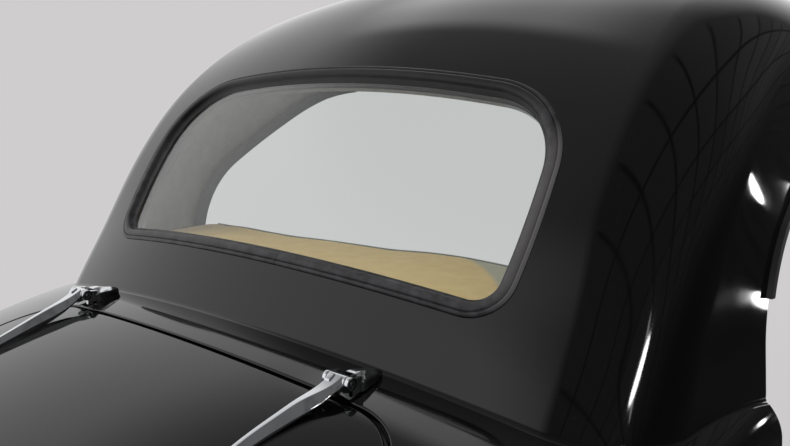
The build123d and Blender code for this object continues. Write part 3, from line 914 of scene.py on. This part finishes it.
class COUPE_OT_skins(bpy.types.Operator):
    """Painted roof and body skins with rolled edges"""

    bl_idname = "coupe.skins"
    bl_label = "Body skins"

    def execute(self, context):
        r, step, rise = size("edge_radius"), size("mesh_step"), size("crease_height")
        roof = Skin(greenhouse, (0.0, greenhouse.reach[1]), 1.0, step, CABIN_LOW_Z)
        crease = roof.cut(lambda p: body.gap(p) - rise)
        end = roof.cut(lambda p: ROOF_END_Y - r - p[:, 1])
        door = roof.cut(lambda p: door_gap(p) - r)
        hole = roof.cut(lambda p: window_gap(p) - r)
        pieces = [roof.piece()]
        for bit in (end, door, hole):
            pieces += edge_strips(roof, bit, r, WALL)
        for run in roof.rims(crease):
            pieces.append(fillet(roof.points(roof.uv[run])))
        make("roof_skin", pieces, "body", "body_paint", "roof_shell")

        lower = Skin(body, body.reach, 1.0, step, SKIN_LOW_Z)
        lower.cut(lambda p: greenhouse.gap(p) - rise)
        cuts = [
            lower.cut(lambda p: LOCK_PILLAR_Y - r - p[:, 1]),
            lower.cut(lambda p: p[:, 2] - SILL_Z - r),
            lower.cut(lambda p: lid_gap(p) - LID_GAP - r),
            lower.cut(lambda p: arch_gap(p) - r),
        ]
        pieces = [lower.piece()]
        for bit in cuts:
            pieces += edge_strips(lower, bit, r, WALL)
        inner = Skin(body, body.reach, 1.0, 2 * step, SKIN_LOW_Z, WALL)
        inner.cut(lambda p: np.maximum(greenhouse.within(p) + WALL, BELT_CUT_Z - p[:, 2]))
        inner.cut(lambda p: LOCK_PILLAR_Y - p[:, 1])
        inner.cut(lambda p: p[:, 2] - SILL_Z)
        inner.cut(lambda p: lid_gap(p) - LID_GAP)
        inner.cut(arch_gap)
        pieces.append(inner.piece(flip=True))
        nodes = ["tulip_panel", "tail_panel", "quarter_panel_left", "quarter_panel_right"]
        make("body_skin", pieces, "body", "body_paint", *nodes)
        return {"FINISHED"}


# Radius of the ball in the crease: where the search starts, and its limits
CREASE_R = 10.0
CREASE_LIMITS = (1.0, 80.0)


def fillet(p, count=8):
    """The soft crease between the back panel and the deck, a ball rolled along both."""
    n = greenhouse.normals(p)
    radius = np.full(len(p), CREASE_R)
    rate = np.sum(n * body.normals(p), 1) - 1
    for _ in range(12):
        radius = radius - (body.gap(p + radius[:, None] * n) - radius) / rate
        radius = np.clip(radius, *CREASE_LIMITS)
    center = p + radius[:, None] * n
    low = -body.normals(center)
    start = -n
    angle = np.arccos(np.clip(np.sum(start * low, 1), -1, 1))[:, None]
    points, normals = [], []
    for i in range(count + 1):
        share = i / count
        way = (np.sin((1 - share) * angle) * start + np.sin(share * angle) * low) / np.sin(angle)
        points.append(center + radius[:, None] * way)
        normals.append(-way)
    return np.concatenate(points), lattice(count + 1, len(p)), np.concatenate(normals)


class COUPE_OT_lid(bpy.types.Operator):
    """Painted deck lid skin with rolled edges"""

    bl_idname = "coupe.lid"
    bl_label = "Deck lid"

    def execute(self, context):
        r, step = size("edge_radius"), size("mesh_step")
        reach = LID_CORNERS[0][1] - LID_SPARE, LID_CORNERS[2][1] + LID_SPARE
        top = Skin(body, reach, Form.CROWN, step, SILL_Z)
        bit = top.cut(lambda p: -lid_gap(p) - r)
        under = Skin(body, reach, Form.CROWN, 3 * step, SILL_Z, LID_SKIN)
        under.cut(lambda p: -lid_gap(p))
        pieces = [top.piece(), under.piece(flip=True)] + edge_strips(top, bit, r, LID_SKIN)
        make("deck_lid_panel", pieces, "deck_lid", "body_paint", "deck_lid_skin")
        return {"FINISHED"}


# The seal's inner side is set further in towards the window's upper left corner
SEAL_INNER = 27.0
SEAL_EXTRA = 9.0
SEAL_EXTRA_WAY = (-0.75, 0.66)
SEAL_STEP = 7.0

# Seal section from the body to the cabin: distance inward from the outline, height over the
# skin. In turn: the lip on the paint, the groove, the rounded face, the lip on the glass and
# the inner side
SEAL = [
    *[(-1.6, 0.2), (-1.2, 1.2), (0.2, 2.5), (2.0, 3.1), (3.6, 2.9), (4.7, 2.0)],
    *[(5.1, 0.9), (5.6, 0.9)],
    *[(6.0, 2.2), (7.4, 3.7), (10.0, 4.4), (13.5, 4.2), (17.0, 3.2), (19.4, 1.4), (20.8, -1.2)],
    *[(22.4, -5.0), (24.4, -8.2), (27.0, -9.3), (27.6, -10.2), (27.6, -14.8), (27.0, -16.2)],
    *[(26.0, -20.0), (25.6, -36.0), (16.0, -37.0)],
]


def swept(section, step):
    """A closed band round the back window, from a section of (inward, height)."""
    flat, out = window.path(step)
    flat, out = np.vstack([flat, flat[:1]]), np.vstack([out, out[:1]])
    extra = np.clip(out @ SEAL_EXTRA_WAY, 0, 1)[:, None] * SEAL_EXTRA
    rows = []
    for inward, height in section[::-1]:
        inward = inward + extra * (inward >= SEAL_INNER)
        rows.append(window.on(greenhouse, flat - out * inward, height))
    return band(np.array(rows))


class COUPE_OT_window(bpy.types.Operator):
    """Back window's rubber seal and glass"""

    bl_idname = "coupe.window"
    bl_label = "Back window"

    def execute(self, context):
        make("window_seal", [swept(SEAL, SEAL_STEP)], "body", "rubber", "back_window_seal")
        step = size("mesh_step") * PANE_COARSER
        pieces = []
        for inset, flip in ((GLASS_IN, False), (GLASS_IN + GLASS_THICK, True)):
            pane = Skin(greenhouse, PANE_REACH, PANE_SHARE, step, CABIN_LOW_Z, inset)
            bit = pane.cut(lambda p: GLASS_UNDER_SEAL - SEAL_WIDTH - window_gap(p))
            pieces.append(pane.piece(flip))
            if not flip:
                pieces += edge_strips(pane, bit, GLASS_EDGE_R, GLASS_THICK * 0.8)
        make("back_window_pane", pieces, "body", "window_glass", "back_window_glass")
        return {"FINISHED"}


def mirrored(half):
    """A turned part's whole profile from its left half."""
    return half + [(-x, radius) for x, radius in half[::-1] if x]


def ring(corners, radii, x, y, count=5):
    """A closed line with rounded corners of (across, height), standing across the car."""
    line = rounded(corners, radii, count)
    return np.column_stack([line[:, 0] + x, np.full(len(line), y), line[:, 1]])


def block(x, y, half, low, high, radius, count):
    """A ring round an upright rectangle."""
    corners = [(half, low), (half, high), (-half, high), (-half, low)]
    return ring(corners, [radius] * 4, x, y, count)


def ridged(rows, side, center_x, foot, edge=1.6, soft=3.5, least=2.0, count=48):
    """Skin of a hinge arm or leaf: flat top, sloped shoulders, straight sides, rounded edges."""
    table = np.array(rows, float)
    at = np.arange(table[0, 0], table[-1, 0] + 0.1, (table[-1, 0] - table[0, 0]) / count)
    shift, top, half, flat, drop = Curves(table[:, 0], table[:, 1:])(at).T
    shift = side * shift + center_x
    low = foot(shift, at)
    rings = []
    for i, y in enumerate(at):
        shoulder = max(top[i] - drop[i], low[i] + least)
        corners = [(half[i], low[i]), (half[i], shoulder), (flat[i], top[i])]
        corners += [(-x, z) for x, z in corners[::-1]]
        radii = [edge, soft, soft * 0.8, soft * 0.8, soft, edge]
        rings.append(ring(corners, radii, shift[i], y))
    return tube(rings)


class COUPE_OT_hinges(bpy.types.Operator):
    """Chromed deck hinges: arms on the lid, pointed leaves with ears on the body, and pins"""

    bl_idname = "coupe.hinges"
    bl_label = "Deck hinges"

    # Left halves of the turned parts: distance from the middle and radius
    PIN = [(-EAR_OUT, 0), (-EAR_OUT, 3.0), (1 - EAR_OUT, PIN_R)]
    BARREL = [(-17, BORE_R), (-17, 8.6), (-16.4, 9.7), (-15.6, 10), (0, 10)]

    # Ear of the leaf, from its inner face to the outer one, with a recess for the pin's head
    EAR = [
        *[(EAR_IN, 0), (EAR_IN, 9.2), (EAR_IN + 0.8, 10)],
        *[(EAR_OUT - 1.2, 10), (EAR_OUT - 0.3, 9.4), (EAR_OUT, 8.2)],
        *[(EAR_OUT, 6.0), (EAR_OUT - 0.8, 5.4), (EAR_OUT - 0.8, 0)],
    ]

    # How far the arm's foot stands over the lid, along y
    ARM_FOOT = [(-120, -1.0), (-75, 2.0), (-45, 8.0), (-25, 15.0), (-6, 18.0)]

    # Raised stop in the notch of the arm's head: y and height over the head
    STOP = [(-19.0, -3.0), (-18.6, 0.6), (-17.0, 1.6), (-8.0, 1.8), (-6.5, 1.2), (-6.2, -3.0)]
    STOP_SHIFT = -6.0
    STOP_HALF = 4.5
    STOP_TALL = 6.0

    # The leaf's ridge starts between its first two rows; a block behind each ear fills the rest,
    # with y and height of its top, and the height of its foot over the leaf's own
    RIDGE_START = 17.5
    BLOCK_ROWS = (0.0, 8.0, 14.0, 20.0)
    BLOCK_TOP = [(0.0, 29.5), (24.0, 26.5)]
    BLOCK_FOOT = 4.0
    SUNK = 1.0

    def execute(self, context):
        for hand, center in KNUCKLES.items():
            self.arm(hand, 1 if hand == "left" else -1, center)
            self.leaf(hand, center)
            pin = turned((center, 0.0, AXIS_Z), mirrored(self.PIN))
            make(f"hinge_rivet_{hand}", pin, "body", "steel", f"hinge_pin_{hand}")
        return {"FINISHED"}

    def arm(self, hand, side, center):
        """The arm on the lid, with its knuckle round the pin and its stop."""

        def foot(x, y):
            return height(body, x, y) + np.interp(y, *zip(*self.ARM_FOOT))

        pieces = ridged(ARM, side, center, foot)
        barrel = mirrored(self.BARREL) + [(0, BORE_R), self.BARREL[0]]
        pieces += turned((center, 0.0, AXIS_Z), barrel, ends=(False, False))
        x, rings = center + self.STOP_SHIFT, []
        for y, rise in self.STOP:
            z = np.interp(y, (ARM[-2][0], ARM[-1][0]), (ARM[-2][2], ARM[-1][2])) + rise
            rings.append(block(x, y, self.STOP_HALF, z - self.STOP_TALL, z, 0.8, 3))
        pieces += tube(rings)
        make(f"hinge_arm_{hand}_chromed", pieces, "deck_lid", "chrome", f"hinge_arm_{hand}")

    def leaf(self, hand, center):
        """The pointed leaf on the body, with an ear on either side of the knuckle."""

        def foot(x, y):
            return height(body, x, y) - self.SUNK

        start = [a + (b - a) * self.RIDGE_START / LEAF[1][0] for a, b in zip(*LEAF[:2])]
        pieces = ridged([start, *LEAF[1:]], 1, center, foot, 2.2, 5.5)
        for sign in (-1, 1):
            pieces += turned((center, 0.0, AXIS_Z), [(sign * x, radius) for x, radius in self.EAR])
            x = center + sign * (EAR_IN + EAR_OUT) / 2
            rings = []
            for y in self.BLOCK_ROWS:
                low, top = foot([x], [y])[0] + self.BLOCK_FOOT, np.interp(y, *zip(*self.BLOCK_TOP))
                rings.append(block(x, y, (EAR_OUT - EAR_IN) / 2, low, top, 1.5, 5))
            pieces += tube(rings)
        make(f"hinge_leaf_{hand}_chromed", pieces, "body", "chrome", f"hinge_leaf_{hand}")


class COUPE_OT_shelf(bpy.types.Operator):
    """Padded shelf behind the seat, with its piping"""

    bl_idname = "coupe.shelf"
    bl_label = "Padded shelf"

    # Farthest that the cloth may blow out, and the grain of the pad's mesh
    CAP = 8.0
    VOXEL = 6.0

    # Where the pad's height across the car is measured, in metres, and from which depth on
    REACH = 0.56
    STEP = 0.02
    DEPTH = 80.0

    # The solid pad is flattened and widened before its cloth blows up
    FLATTEN = 0.85
    WIDEN = 1.02

    # Cord along the front edge
    CORD_R = 4.0
    CORD_ENDS = 515.0
    CORD_STEP = 15.0

    def execute(self, context):
        mesh = frame["nodes"]["package_shelf"].data.copy()
        mesh.materials.clear()
        piece = place("padded_shelf", mesh, "body", "shelf_cloth", "package_shelf")
        low = (SHELF_TOP + DECK[2]) * MM
        for v in mesh.vertices:
            v.co.z = low + (v.co.z - low) * self.FLATTEN
            v.co.x *= self.WIDEN
        modifier = piece.modifiers.new("remesh", "REMESH")
        modifier.mode, modifier.voxel_size = "VOXEL", self.VOXEL * MM
        self.bake(context, piece)
        self.swell(context, piece)
        smooth = piece.modifiers.new("smooth", "SMOOTH")
        smooth.factor, smooth.iterations = 0.5, 6
        piece.modifiers.new("subdivide", "SUBSURF").levels = 1
        self.bake(context, piece)
        self.crown(piece.data, low + 0.0002)
        piece.data.shade_smooth()
        self.piping(piece)
        return {"FINISHED"}

    def crown(self, mesh, low):
        """Brings the pad to its uneven height across the car, on the board."""
        points = np.array([v.co for v in mesh.vertices])
        near = points[points[:, 1] > (PAD_FRONT - self.DEPTH + DECK[1]) * MM]
        at = np.arange(-self.REACH, self.REACH + 0.001, self.STEP)
        spots = [near[np.abs(near[:, 0] - x) < self.STEP] for x in at]
        tops = np.array([spot[:, 2].max(initial=low + 0.01) for spot in spots])
        rise = np.interp(points[:, 0], at, tops) - low
        wanted = (np.interp(points[:, 0] / MM, *zip(*CROWN)) - SHELF_TOP) * MM
        share = np.clip((points[:, 2] - low) / rise, 0, None)
        for v, z in zip(mesh.vertices, low + share * wanted):
            v.co.z = z

    def bake(self, context, piece):
        """Turns the piece's modifiers into its mesh."""
        graph = context.evaluated_depsgraph_get()
        mesh = bpy.data.meshes.new_from_object(piece.evaluated_get(graph))
        piece.modifiers.clear()
        piece.data = mesh

    def swell(self, context, piece):
        """Blows the pad up under its cloth, each point by no more than the cap."""
        start = np.array([v.co for v in piece.data.vertices])
        cloth = piece.modifiers.new("cloth", "CLOTH")
        settings = cloth.settings
        settings.use_pressure, settings.uniform_pressure_force = True, 4.0
        settings.effector_weights.gravity = 0.0
        settings.quality, settings.mass = 6, 0.3
        settings.tension_stiffness = settings.compression_stiffness = 15.0
        settings.bending_stiffness = 0.5
        cloth.point_cache.frame_start, cloth.point_cache.frame_end = 1, 20
        for number in range(1, 21):
            context.scene.frame_set(number)
        graph = context.evaluated_depsgraph_get()
        moved = np.array([v.co for v in piece.evaluated_get(graph).data.vertices])
        piece.modifiers.clear()
        context.scene.frame_set(1)
        step = moved - start
        reach = np.linalg.norm(step, axis=1, keepdims=True)
        cap = self.CAP * MM
        step *= np.minimum(1, cap / np.maximum(reach, 1e-9))
        for v, co in zip(piece.data.vertices, start + step):
            v.co = co

    def piping(self, piece):
        """Grey cord sewn along the pad's front edge."""
        points = np.array([v.co for v in piece.data.vertices]) / MM - DECK
        rings = []
        for x in np.arange(-self.CORD_ENDS, self.CORD_ENDS + 1, self.CORD_STEP):
            near = points[(np.abs(points[:, 0] - x) < 9) & (points[:, 2] > SHELF_TOP + 10)]
            edge = near[np.argmax(near[:, 1] * 0.55 + near[:, 2])]
            rings.append((x, edge[1], edge[2]))
        line = np.array(rings)
        for _ in range(4):
            line[1:-1, 1:] = (line[:-2, 1:] + 2 * line[1:-1, 1:] + line[2:, 1:]) / 4
        angles = np.linspace(0, 2 * pi, 11)
        spokes = np.column_stack([np.zeros(11), np.cos(angles), np.sin(angles)]) * self.CORD_R
        pieces = tube([p + spokes for p in line])
        make("shelf_piping", pieces, "body", "trim_cloth")


class COUPE_OT_finishes(bpy.types.Operator):
    """Finishes of the CAD parts that keep their own shape"""

    bl_idname = "coupe.finishes"
    bl_label = "CAD finishes"

    def execute(self, context):
        slots = {part["node"]: part["material_slot"] for part in frame["record"]["subparts"]}
        for name, node in frame["nodes"].items():
            if node.hide_render or name not in slots:
                continue
            node.data.materials.clear()
            node.data.materials.append(finish(slots[name]))
        return {"FINISHED"}


class COUPE_OT_stage(bpy.types.Operator):
    """Pale studio: floor, world, soft lamps and the camera"""

    bl_idname = "coupe.stage"
    bl_label = "Stage"

    # Lamps seen only as reflections: place, width, height and brightness
    GLINTS = [
        ((4.35, -0.22, 1.98), 0.40, 0.20, 30.0),
        ((4.35, -0.22, 1.98), 0.12, 0.62, 3.0),
        ((2.46, 4.34, 0.84), 0.16, 0.24, 14.0),
        ((2.82, 4.10, 0.01), 0.10, 0.12, 16.0),
        ((2.05, 4.60, 0.72), 0.07, 0.30, 10.0),
        ((2.25, 4.45, 0.35), 0.06, 0.30, 10.0),
    ]
    GLINT_GOAL = (0.3, 0.3, 0.8)

    # Soft lamp over the left shoulder: place, side, brightness and what it is turned to
    SOFTBOX = (-1.5, -1.5, 4.0), 3.0, 60.0 / (9 * pi), (0.0, 0.2, 0.8)

    # Ceiling seen in the roof: its corners, its height, and the fades at its edges
    CEILING = (-1.3, 0.85), (0.5, 2.3), 1.8
    FADES_X = (-1, -0.5, 0, 1), (0, 0.45, 0.8, 0)
    FADES_Y = (0.92, 1.08, 0, 1), (1.3, 1.9, 1, 0)

    FLOOR_REACH = 30.0
    FLOOR_BELOW = 0.02

    # Camera: place, lens and angles in degrees
    EYE = (1.0473, -0.4869, 0.9826)
    LENS, SENSOR = 36.19, 36.0
    YAW, PITCH, ROLL = 40.2194, 10.1072, 0.233

    def execute(self, context):
        context.scene.view_settings.view_transform = "Standard"
        self.pale = context.scene.coupe_colours.backdrop
        self.floor(context)
        self.world(context.scene)
        self.lamps(context)
        self.glow(context)
        self.camera(context)
        return {"FINISHED"}

    def panel(self, context, material, low, high, z):
        """A level rectangle of the stage, named as its material."""
        corners = [(*low, z), (high[0], low[1], z), (*high, z), (low[0], high[1], z)]
        mesh = bpy.data.meshes.new(material.name)
        mesh.from_pydata(corners, [], [(0, 1, 2, 3)])
        mesh.materials.append(material)
        panel = bpy.data.objects.new(material.name, mesh)
        context.collection.objects.link(panel)
        panel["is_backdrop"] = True
        return panel

    def floor(self, context):
        """Matt floor that keeps the object's shadow and fades into the backdrop."""
        material, tree, coords = begin("matt_studio_floor")
        patch = add(tree, "TexNoise", (coords, 0, per_metre(2500), 2))
        shade = add(tree, "ValToRGB", (patch,), stops=[(0.2, "#cbc9ca"), (0.8, "#d1cfd0")])
        matt = {"Base Color": shade, "Roughness": 0.9, "Specular IOR Level": 0.1}
        matt = add(tree, "BsdfPrincipled", matt)
        even = add(tree, "Emission", (self.pale,))
        away = add(tree, "VectorMath", (coords,), "Value", operation="LENGTH")
        far = add(tree, "MapRange", (away, 1.2, 4.0, 0.8, 1.0))
        path = add(tree, "LightPath", out=None)
        share = add(tree, "Math", (path["Is Camera Ray"], far), operation="MULTIPLY")
        share = add(tree, "Math", (share, path["Is Transmission Ray"]), operation="MAXIMUM")
        shown = add(tree, "MixShader", (share, matt, even))
        surface(material, "MixShader", (path["Is Glossy Ray"], shown, add(tree, "BsdfTransparent")))
        reach, low = self.FLOOR_REACH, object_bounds()[0][2] - self.FLOOR_BELOW
        self.panel(context, material, (-reach, -reach), (reach, reach), low)

    def world(self, scene):
        """Pale walls to the left and behind, a dark hall with a ceiling grid to the right."""
        scene.world = bpy.data.worlds.new("studio")
        scene.world.use_nodes = True
        tree = scene.world.node_tree
        tree.nodes.clear()
        x, y, z = add(tree, "SeparateXYZ", (add(tree, "TexCoord", out="Generated"),), None)
        smooth = {"interpolation_type": "SMOOTHSTEP"}
        up = add(tree, "MapRange", (z, 0.58, 0.82, 0.95, 0.30), **smooth)
        left = add(tree, "MapRange", (x, -0.20, 0.24, 1.0, 0.0), **smooth)
        walls = add(tree, "Math", (up, left), operation="MULTIPLY")
        high = add(tree, "Math", (z, 0.05), operation="MAXIMUM")
        plan = [add(tree, "Math", (way, high), operation="DIVIDE") for way in (x, y)]
        tones = (("Color1", 1), ("Color2", 0.8), ("Mortar", 0.25))
        bricks = {name: (level, level, level, 1) for name, level in tones}
        bricks |= {"Vector": add(tree, "CombineXYZ", plan), "Scale": 1.0}
        bricks |= {"Brick Width": 0.6, "Row Height": 0.4}
        bricks |= {"Mortar Size": 0.025, "Mortar Smooth": 0.6}
        grid = add(tree, "TexBrick", bricks, offset=0.0, squash=1.0)
        dim = add(tree, "MapRange", (z, 0.05, 0.35, 0.035, 0.13), **smooth)
        ceiling = add(tree, "Math", (dim, grid), operation="MULTIPLY")
        hall = add(tree, "Math", (walls, ceiling), operation="MAXIMUM")
        glossy = add(tree, "Background", (hall,))
        plain = add(tree, "Background", (self.pale,))
        soft = add(tree, "Background", ((1, 1, 1, 1), 0.75))
        path = add(tree, "LightPath", out=None)
        direct = path["Is Camera Ray"], path["Is Transmission Ray"]
        seen = add(tree, "Math", direct, operation="MAXIMUM")
        unseen = add(tree, "MixShader", (path["Is Glossy Ray"], soft, glossy))
        add(tree, "OutputWorld", (add(tree, "MixShader", (seen, unseen, plain)),), None)

    def lamps(self, context):
        """A broad soft lamp and small hall lamps."""
        place, side, level, goal = self.SOFTBOX
        soft = self.lamp(context, "softbox", place, (side, side), level, goal)
        soft.visible_glossy = soft.visible_transmission = False
        for i, (place, wide, tall, level) in enumerate(self.GLINTS):
            beam = (wide, tall), level, self.GLINT_GOAL, "ELLIPSE"
            glint = self.lamp(context, f"glint_{i}", place, *beam)
            glint.visible_diffuse = glint.visible_transmission = False

    def lamp(self, context, name, place, size, level, goal, shape="RECTANGLE"):
        """An area lamp of a given brightness, turned to its goal and unseen by the camera."""
        light = bpy.data.lights.new(name, "AREA")
        light.shape, light.size, light.size_y = shape, *size
        area = size[0] * size[1] * (pi / 4 if shape == "ELLIPSE" else 1.0)
        light.energy = level * pi * area
        lamp = bpy.data.objects.new(name, light)
        lamp.location = place
        lamp.rotation_euler = (Vector(goal) - lamp.location).to_track_quat("-Z", "Y").to_euler()
        lamp.visible_camera = False
        context.collection.objects.link(lamp)
        return lamp

    def glow(self, context):
        """A soft-edged pale ceiling seen only in reflections on the roof's top."""
        material, tree, coords = begin("ceiling_glow")
        x, y, _ = add(tree, "SeparateXYZ", (coords,), None)
        level = 1.0
        for edge in [(y, *fade) for fade in self.FADES_Y] + [(x, *fade) for fade in self.FADES_X]:
            fade = add(tree, "MapRange", edge, interpolation_type="SMOOTHSTEP")
            level = add(tree, "Math", (level, fade), operation="MULTIPLY")
        light = add(tree, "Emission", ((1, 1, 1, 1), level))
        surface(material, "AddShader", (light, add(tree, "BsdfTransparent")))
        panel = self.panel(context, material, *self.CEILING)
        for ray in ("camera", "diffuse", "transmission", "shadow"):
            setattr(panel, f"visible_{ray}", False)

    def camera(self, context):
        """The photograph's point of view."""
        data = bpy.data.cameras.new("camera")
        data.sensor_fit, data.sensor_width = "HORIZONTAL", self.SENSOR
        data.lens, data.clip_start, data.clip_end = self.LENS, 0.02, 100.0
        camera = bpy.data.objects.new("camera", data)
        yaw, pitch, roll = radians(self.YAW), radians(self.PITCH), radians(self.ROLL)
        ahead = Vector((-sin(yaw) * cos(pitch), cos(yaw) * cos(pitch), -sin(pitch)))
        right = Vector((cos(yaw), sin(yaw), 0.0))
        up = right.cross(ahead)
        right, up = right * cos(roll) + up * sin(roll), up * cos(roll) - right * sin(roll)
        turn = Matrix((right, up, -ahead)).transposed().to_4x4()
        camera.matrix_world = Matrix.Translation(self.EYE) @ turn
        context.collection.objects.link(camera)
        context.scene.camera = camera


class COUPE_PT_panel(bpy.types.Panel):
    """The pieces of the coupe's rear section"""

    bl_idname = "COUPE_PT_panel"
    bl_label = "Coupe rear section"
    bl_space_type = "VIEW_3D"
    bl_region_type = "UI"
    bl_category = "Coupe"

    def draw(self, context):
        for operator in OPERATORS:
            self.layout.operator(operator.bl_idname)
        for group in (context.scene.coupe_sizes, context.scene.coupe_colours):
            for name in group.__annotations__:
                self.layout.prop(group, name)


OPERATORS = (
    COUPE_OT_stage,
    COUPE_OT_skins,
    COUPE_OT_lid,
    COUPE_OT_window,
    COUPE_OT_hinges,
    COUPE_OT_shelf,
    COUPE_OT_finishes,
)
CLASSES = (CoupeSizes, CoupeColours, *OPERATORS, COUPE_PT_panel)


def register():
    """Makes the classes and the values a user would change known to Blender."""
    for item in CLASSES:
        bpy.utils.register_class(item)
    bpy.types.Scene.coupe_sizes = bpy.props.PointerProperty(type=CoupeSizes)
    bpy.types.Scene.coupe_colours = bpy.props.PointerProperty(type=CoupeColours)


def unregister():
    """Takes them back."""
    del bpy.types.Scene.coupe_sizes
    del bpy.types.Scene.coupe_colours
    for item in reversed(CLASSES):
        bpy.utils.unregister_class(item)


def main():
    """Builds everything in order."""
    register()
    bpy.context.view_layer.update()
    for operator in OPERATORS:
        group, name = operator.bl_idname.split(".")
        getattr(getattr(bpy.ops, group), name)()


if __name__ == "__main__":
    main()
